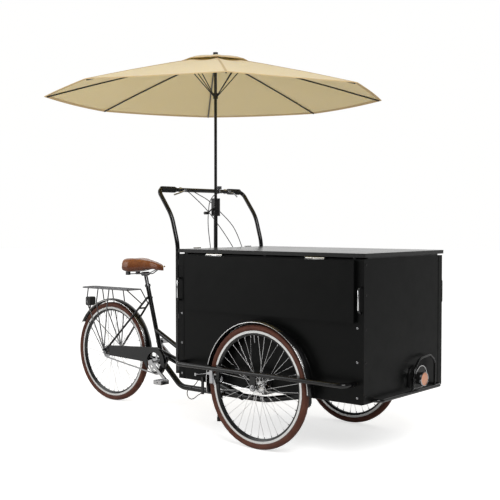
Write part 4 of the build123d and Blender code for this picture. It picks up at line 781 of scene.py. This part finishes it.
nothing_selected()
bpy.ops.mesh.primitive_cylinder_add(vertices=8, radius=NIPPLE_R, depth=NIPPLE_LENGTH)
nipple = bpy.context.object
edges_broken(NIPPLE_EDGE, 1)
nothing_selected()
bpy.ops.mesh.primitive_cylinder_add(vertices=12, radius=VALVE_R, depth=VALVE_LENGTH)
valve = bpy.context.object
bpy.ops.object.mode_set(mode="EDIT")
bpy.ops.mesh.select_all(action="DESELECT")
bpy.ops.mesh.select_mode(type="FACE")
bpy.ops.object.mode_set(mode="OBJECT")
for face in valve.data.polygons:
    face.select = face.normal.z < -0.9
bpy.ops.object.mode_set(mode="EDIT")
bpy.ops.mesh.inset(thickness=VALVE_STEP)
bpy.ops.mesh.extrude_region_move(TRANSFORM_OT_translate={"value": (0, 0, -VALVE_STEM)})
bpy.ops.object.mode_set(mode="OBJECT")
for name, body, x, z, y in WHEEL_PLACES:
    ends = []
    for spoke in range(SPOKES):
        angle = math.radians(spoke * 360 / SPOKES)
        aside = NIPPLE_ASIDE if spoke % 2 else -NIPPLE_ASIDE
        turn = Matrix.Rotation(math.pi / 2 - angle, 4, "Y")
        place = (x + NIPPLE_PLACE_R * math.cos(angle), y + aside, z + NIPPLE_PLACE_R * math.sin(angle))
        ends.append(copied(nipple, turn, place))
    turn = Matrix.Rotation(math.pi / 2 - VALVE_ANGLE, 4, "Y")
    place = (x + VALVE_PLACE_R * math.cos(VALVE_ANGLE), y, z + VALVE_PLACE_R * math.sin(VALVE_ANGLE))
    ends.append(copied(valve, turn, place))
    settle(joined(ends), f"nipples_{name}", body, "bright_metal", chrome, smooth=40)
bpy.data.objects.remove(nipple)
bpy.data.objects.remove(valve)

# ---------------------------------------------------------------- screws of the box
# Button-head screws hold the corner angles, and small black ones the edges of the front and back boards.
# One head, rounded at its edges and recessed for the key, is shaped from a disc, and each place has a copy.
HEAD_R = 0.0065
HEAD_T = 0.003
HEAD_ROUNDING = 0.0014
RECESS_RIM = 0.0022
RECESS_DEPTH = 0.0016
nothing_selected()
bpy.ops.mesh.primitive_cylinder_add(vertices=16, radius=HEAD_R, depth=HEAD_T, location=(0, 0, HEAD_T / 2))
screw = bpy.context.object
edges_broken(HEAD_ROUNDING, 2)
for face in screw.data.polygons:
    face.select = face.normal.z > 0.99
bpy.ops.object.mode_set(mode="EDIT")
bpy.ops.mesh.inset(thickness=RECESS_RIM)
bpy.ops.mesh.extrude_region_move(TRANSFORM_OT_translate={"value": (0, 0, -RECESS_DEPTH)})
bpy.ops.object.mode_set(mode="OBJECT")


def heads(name, body, slot_name, material, places, scale=1.0):
    """Screw heads at (x, y, z, way it faces), joined as one piece."""
    made = []
    for x, y, z, way in places:
        turn = Vector(way).to_track_quat("Z", "X").to_matrix().to_4x4() @ Matrix.Scale(scale, 4)
        made.append(copied(screw, turn, (x, y, z)))
    return settle(joined(made), name, body, slot_name, material, smooth=35)


FLANK_Y = 0.392
CORNER_X = (0.027, 1.217)
CORNER_Z = (0.336, 0.511, 0.680)
FRONT_X = 1.255
BACK_X = 0.001
EDGE_Y = 0.376
EDGE_Z = (0.345, 0.51, 0.675, 0.84, 0.99)
SMALL_HEAD = 0.75
corner_places = []
for side in (-1, 1):
    for x in CORNER_X:
        for z in CORNER_Z:
            corner_places.append((x, side * FLANK_Y, z, (0, side, 0)))
edge_places = []
for z in EDGE_Z:
    for y in (-EDGE_Y, EDGE_Y):
        edge_places.append((FRONT_X, y, z, (1, 0, 0)))
        edge_places.append((BACK_X, y, z, (-1, 0, 0)))
zinc_screw = finish_of("zinc screw heads", (0.36, 0.36, 0.37), 0.2, 0.35, metal=1.0)
heads("corner_screws", "front_module", "bright_metal", zinc_screw, corner_places)
heads("edge_screws", "front_module", "frame_black", gloss_black, edge_places, SMALL_HEAD)
bpy.data.objects.remove(screw)

# ---------------------------------------------------------------- head lamp
# A round lamp with fluted amber glass in a bright turned bezel, on a drop-shaped black shield whose edge
# carries a painted highlight. The glass and the bezel are turned; the highlight is a bright steel strip
# that follows the shield's outline.
def turned(outline, place, way, steps=32):
    """Round piece turned from a (radius, height) outline, standing at its place and facing its way."""
    nothing_selected()
    bpy.ops.mesh.primitive_circle_add(vertices=len(outline), radius=0.01, fill_type="NOTHING")
    piece = bpy.context.object
    for point, (r, h) in zip(piece.data.vertices, outline):
        point.co = Vector((r, 0, h))
    edit_all()
    bpy.ops.mesh.spin(steps=steps, angle=2 * math.pi, center=(0, 0, 0), axis=(0, 0, 1))
    bpy.ops.mesh.select_all(action="SELECT")
    bpy.ops.mesh.remove_doubles(threshold=0.00001)
    bpy.ops.mesh.delete_loose(use_verts=True, use_edges=True, use_faces=False)
    close_up()
    turn = Vector(way).to_track_quat("Z", "X").to_matrix().to_4x4()
    piece.matrix_world = Matrix.Translation(place) @ turn
    return piece


LAMP_AT = (1.323, 0.082, 0.381)
LAMP_STEPS = 48
bezel_outline = [(0.0335, -0.006), (0.0335, 0.0012), (0.0350, 0.0030), (0.0368, 0.0026)]
bezel_outline += [(0.0378, -0.0005), (0.0378, -0.010)]
bezel = turned(bezel_outline, LAMP_AT, (1, 0, 0), LAMP_STEPS)
settle(bezel, "lamp_bezel", "front_module", "bright_metal", chrome)
glass_outline = [(0.0, -0.004), (0.0334, -0.004), (0.0334, 0.0004), (0.028, 0.0016), (0.018, 0.0028)]
glass_outline += [(0.008, 0.0034), (0.0, 0.0036)]
glass = turned(glass_outline, LAMP_AT, (1, 0, 0), LAMP_STEPS)
amber, amber_tree, amber_shader = new_material("fluted amber glass")
amber_shader.inputs["Coat Weight"].default_value = 0.6
amber_place = add_node(amber_tree, "ShaderNodeTexCoord")
FLUTING = {"Scale": 62.0, "Distortion": 0.4, "Detail": 1.0}
AMBER_DEEP = (0.5, 0.16, 0.075, 1)
AMBER_PALE = (0.78, 0.4, 0.24, 1)
flutes = add_node(amber_tree, "ShaderNodeTexWave", FLUTING, bands_direction="Y")
blotch = add_node(amber_tree, "ShaderNodeTexNoise", {"Scale": 42.0, "Detail": 3.0})
amber_mix = add_node(amber_tree, "ShaderNodeMix", {6: AMBER_DEEP, 7: AMBER_PALE}, data_type="RGBA")
amber_bump = add_node(amber_tree, "ShaderNodeBump", {"Strength": 0.6, "Distance": 0.0008})
SMOOTH_GLASS = {"Scale": 60.0, "Low": 0.08, "High": 0.2}
amber_rough = add_node(amber_tree, "ShaderNodeGroup", SMOOTH_GLASS, node_tree=dust)
wire(
    amber_tree,
    (amber_place, "Object", flutes, "Vector"),
    (amber_place, "Object", blotch, "Vector"),
    (blotch, "Fac", amber_mix, 0),
    (amber_mix, 2, amber_shader, "Base Color"),
    (flutes, "Fac", amber_bump, "Height"),
    (amber_bump, "Normal", amber_shader, "Normal"),
    (amber_rough, "Roughness", amber_shader, "Roughness"),
)
settle(glass, "lamp_glass", "front_module", "dark_plastic", amber, smooth=50)

# The bright steel strip round the shield's outline is a painted highlight on the shield's black edge.
SHIELD_MIDDLE = Vector((0.118, 0.386))
SHIELD_TIP = Vector((0.033, 0.330))
SHIELD_R = 0.056
SHIELD_X = 1.2788
EDGE_STRIP_W = 0.0066
EDGE_STRIP_T = 0.0034
ROUND_STEPS = 32
to_tip = SHIELD_TIP - SHIELD_MIDDLE
tip_way = math.atan2(to_tip.y, to_tip.x)
reach = math.acos(SHIELD_R / to_tip.length)
edge_line = [SHIELD_TIP]
for step in range(ROUND_STEPS + 1):
    angle = tip_way + reach + (2 * math.pi - 2 * reach) * step / ROUND_STEPS
    edge_line.append(SHIELD_MIDDLE + SHIELD_R * Vector((math.cos(angle), math.sin(angle))))
nothing_selected()
bpy.ops.mesh.primitive_circle_add(vertices=len(edge_line), radius=0.01, fill_type="NOTHING")
shield_edge_highlight = bpy.context.object
for point, spot in zip(shield_edge_highlight.data.vertices, edge_line):
    point.co = Vector((SHIELD_X, spot.x, spot.y))
edit_all()
bpy.ops.mesh.extrude_edges_move(TRANSFORM_OT_translate={"value": (EDGE_STRIP_W, 0, 0)})
close_up()
apply_modifier(shield_edge_highlight, "SOLIDIFY", thickness=EDGE_STRIP_T, offset=0.0)
settle(shield_edge_highlight, "shield_edge_highlight", "front_module", "bright_metal", spoke_steel)

# ---------------------------------------------------------------- mudguard beads as painted edge highlights
# Each mudguard has a bright steel bead along both of its edges: a painted highlight standing in for the
# light caught on the black guard's rolled edge. A round wire section is spun through the guard's angle at
# each edge.
GUARD_EDGE_R = 0.3435
GUARD_HALF_W = 0.0274
BEAD_R = 0.0021
BEAD_STEPS = 56
GUARDS = (
    ("front_module", FRONT_AXLE, -HALF_TRACK, 0, 191),
    ("front_module", FRONT_AXLE, HALF_TRACK, 0, 191),
    ("rear_frame", REAR_AXLE, 0.0, -5, 150),
)
highlight_beads = {"front_module": [], "rear_frame": []}
for body, (x, z), y, start, end in GUARDS:
    for edge_y in (-GUARD_HALF_W, GUARD_HALF_W):
        nothing_selected()
        bpy.ops.mesh.primitive_circle_add(vertices=8, radius=BEAD_R, fill_type="NGON")
        bead = bpy.context.object
        bead.rotation_euler = (math.pi / 2, 0, 0)
        bpy.ops.object.transform_apply(rotation=True)
        for point in bead.data.vertices:
            point.co = Vector((GUARD_EDGE_R + point.co.x, point.co.z, 0))
        bead.data.transform(Matrix.Rotation(-math.radians(start), 4, "Y"))
        edit_all()
        sweep = math.radians(end - start)
        bpy.ops.mesh.spin(steps=BEAD_STEPS, angle=sweep, center=(0, 0, 0), axis=(0, 1, 0))
        close_up()
        bead.location = (x, y + edge_y, z)
        highlight_beads[body].append(bead)
for body, made in highlight_beads.items():
    settle(joined(made), f"guard_highlight_beads_{body}", body, "bright_metal", spoke_steel, smooth=50)

# ---------------------------------------------------------------- handle strips as painted highlights
# A bright steel strip on the face of each of the four black bow handles is a painted highlight, standing in
# for the light caught on the bars. Each is a small bar of bright steel with its edges broken.
HANDLE_X = (0.017, 1.239)
HANDLE_FACE_Y = 0.4212
HANDLE_Z = 0.818
STRIP_SIZE = (0.006, 0.0016, 0.098)
STRIP_EDGE = 0.0006


def eased_bar(place, size, edge, segments):
    """Square bar at its place with its edges broken."""
    nothing_selected()
    bpy.ops.mesh.primitive_cube_add(size=1, location=place)
    bar = bpy.context.object
    bar.scale = size
    bpy.ops.object.transform_apply(scale=True)
    edges_broken(edge, segments)
    return bar


handle_highlights = []
for x in HANDLE_X:
    for side in (-1, 1):
        handle_highlights.append(eased_bar((x, side * HANDLE_FACE_Y, HANDLE_Z), STRIP_SIZE, STRIP_EDGE, 2))
settle(joined(handle_highlights), "handle_highlight_strips", "front_module", "bright_metal", spoke_steel)

# ---------------------------------------------------------------- axle washers
# A turned, chromed washer lies under the nut at the outer end of each front axle.
# It has a slight dome towards the bore.
WASHER_Y = 0.482
washer_outline = [(0.0105, 0.0), (0.0155, 0.0), (0.0155, 0.0012), (0.0105, 0.0016)]
washers = []
for side in (-1, 1):
    place = (FRONT_AXLE[0], side * WASHER_Y, FRONT_AXLE[1])
    washers.append(turned(washer_outline, place, (0, side, 0), 24))
settle(joined(washers), "axle_washers", "front_module", "bright_metal", chrome)

# ---------------------------------------------------------------- tail lamp glass
# A red reflector glass stands in the back of the tail lamp's case.
# It is moulded with rounded edges and a coarse ripple.
TAIL_GLASS_AT = (-1.2525, 0, 0.655)
TAIL_GLASS_SIZE = (0.004, 0.040, 0.052)
TAIL_GLASS_EDGE = 0.0018
GLASS_RED = (0.35, 0.012, 0.01)
GLASS_PALE = (0.45, 0.03, 0.02)
tail_glass = eased_bar(TAIL_GLASS_AT, TAIL_GLASS_SIZE, TAIL_GLASS_EDGE, 3)
red_glass = finish_of(
    "red reflector glass", GLASS_RED, 0.08, 0.18, coat=0.6, worn=GLASS_PALE, grain=160.0, depth=0.0006
)
settle(tail_glass, "tail_glass", "rear_frame", "dark_plastic", red_glass)

# ---------------------------------------------------------------- saddle rivets
# Brass rivets hold the leather to the frame's cantle plate behind and to the nose.
REAR_RIVETS = ((-0.8425, 0.0), (-0.8408, 0.034), (-0.8408, -0.034), (-0.8355, 0.062), (-0.8355, -0.062))
NOSE_RIVETS = ((-0.5185, -0.012), (-0.5185, 0.012))
RIVET_STEPS = 16
rivet_outline = [(0.0, 0.0), (0.0062, 0.0), (0.0058, 0.0012), (0.0036, 0.0026), (0.0, 0.0032)]
rivets = []
for x, y in REAR_RIVETS:
    rivets.append(turned(rivet_outline, (x, y, 0.925), (-1, y * 6, 0.1), RIVET_STEPS))
for x, y in NOSE_RIVETS:
    rivets.append(turned(rivet_outline, (x, y, 0.914), (1, 0, 0.15), RIVET_STEPS))
brass = finish_of("saddle brass", (0.55, 0.33, 0.12), 0.2, 0.35, metal=1.0)
settle(joined(rivets), "saddle_rivets", "rear_frame", "bright_metal", brass)

# ---------------------------------------------------------------- grips
# Black rubber grips with moulded rings, pushed on the bar's two bends.
# The rings are turned round the bar as one piece for each hand.
GRIP_R = 0.0165
RING_R = 0.0184
GRIP_BORE_R = 0.0150
GRIP_LENGTH = 0.1155
GRIP_RINGS = 14
RING_PITCH = 0.0078
FIRST_RING = 0.006
BAR_X = -0.179
BAR_Z = 1.391
GRIP_Y = 0.2362
grip_outline = [(GRIP_R, 0.0)]
for ring in range(GRIP_RINGS):
    h = FIRST_RING + ring * RING_PITCH
    grip_outline += [(GRIP_R, h), (RING_R, h + 0.0012), (RING_R, h + 0.0040), (GRIP_R, h + 0.0052)]
grip_outline += [(GRIP_R, GRIP_LENGTH), (GRIP_BORE_R, GRIP_LENGTH), (GRIP_BORE_R, 0.0)]
rings = []
for side in (-1, 1):
    rings.append(turned(grip_outline, (BAR_X, side * GRIP_Y, BAR_Z), (0, side, 0), 28))
grip_rubber = finish_of("grip rubber", (0.007, 0.007, 0.007), 0.55, 0.75, grain=1200.0, depth=0.00006)
settle(joined(rings), "grip_rings", "front_module", "dark_plastic", grip_rubber, smooth=40)
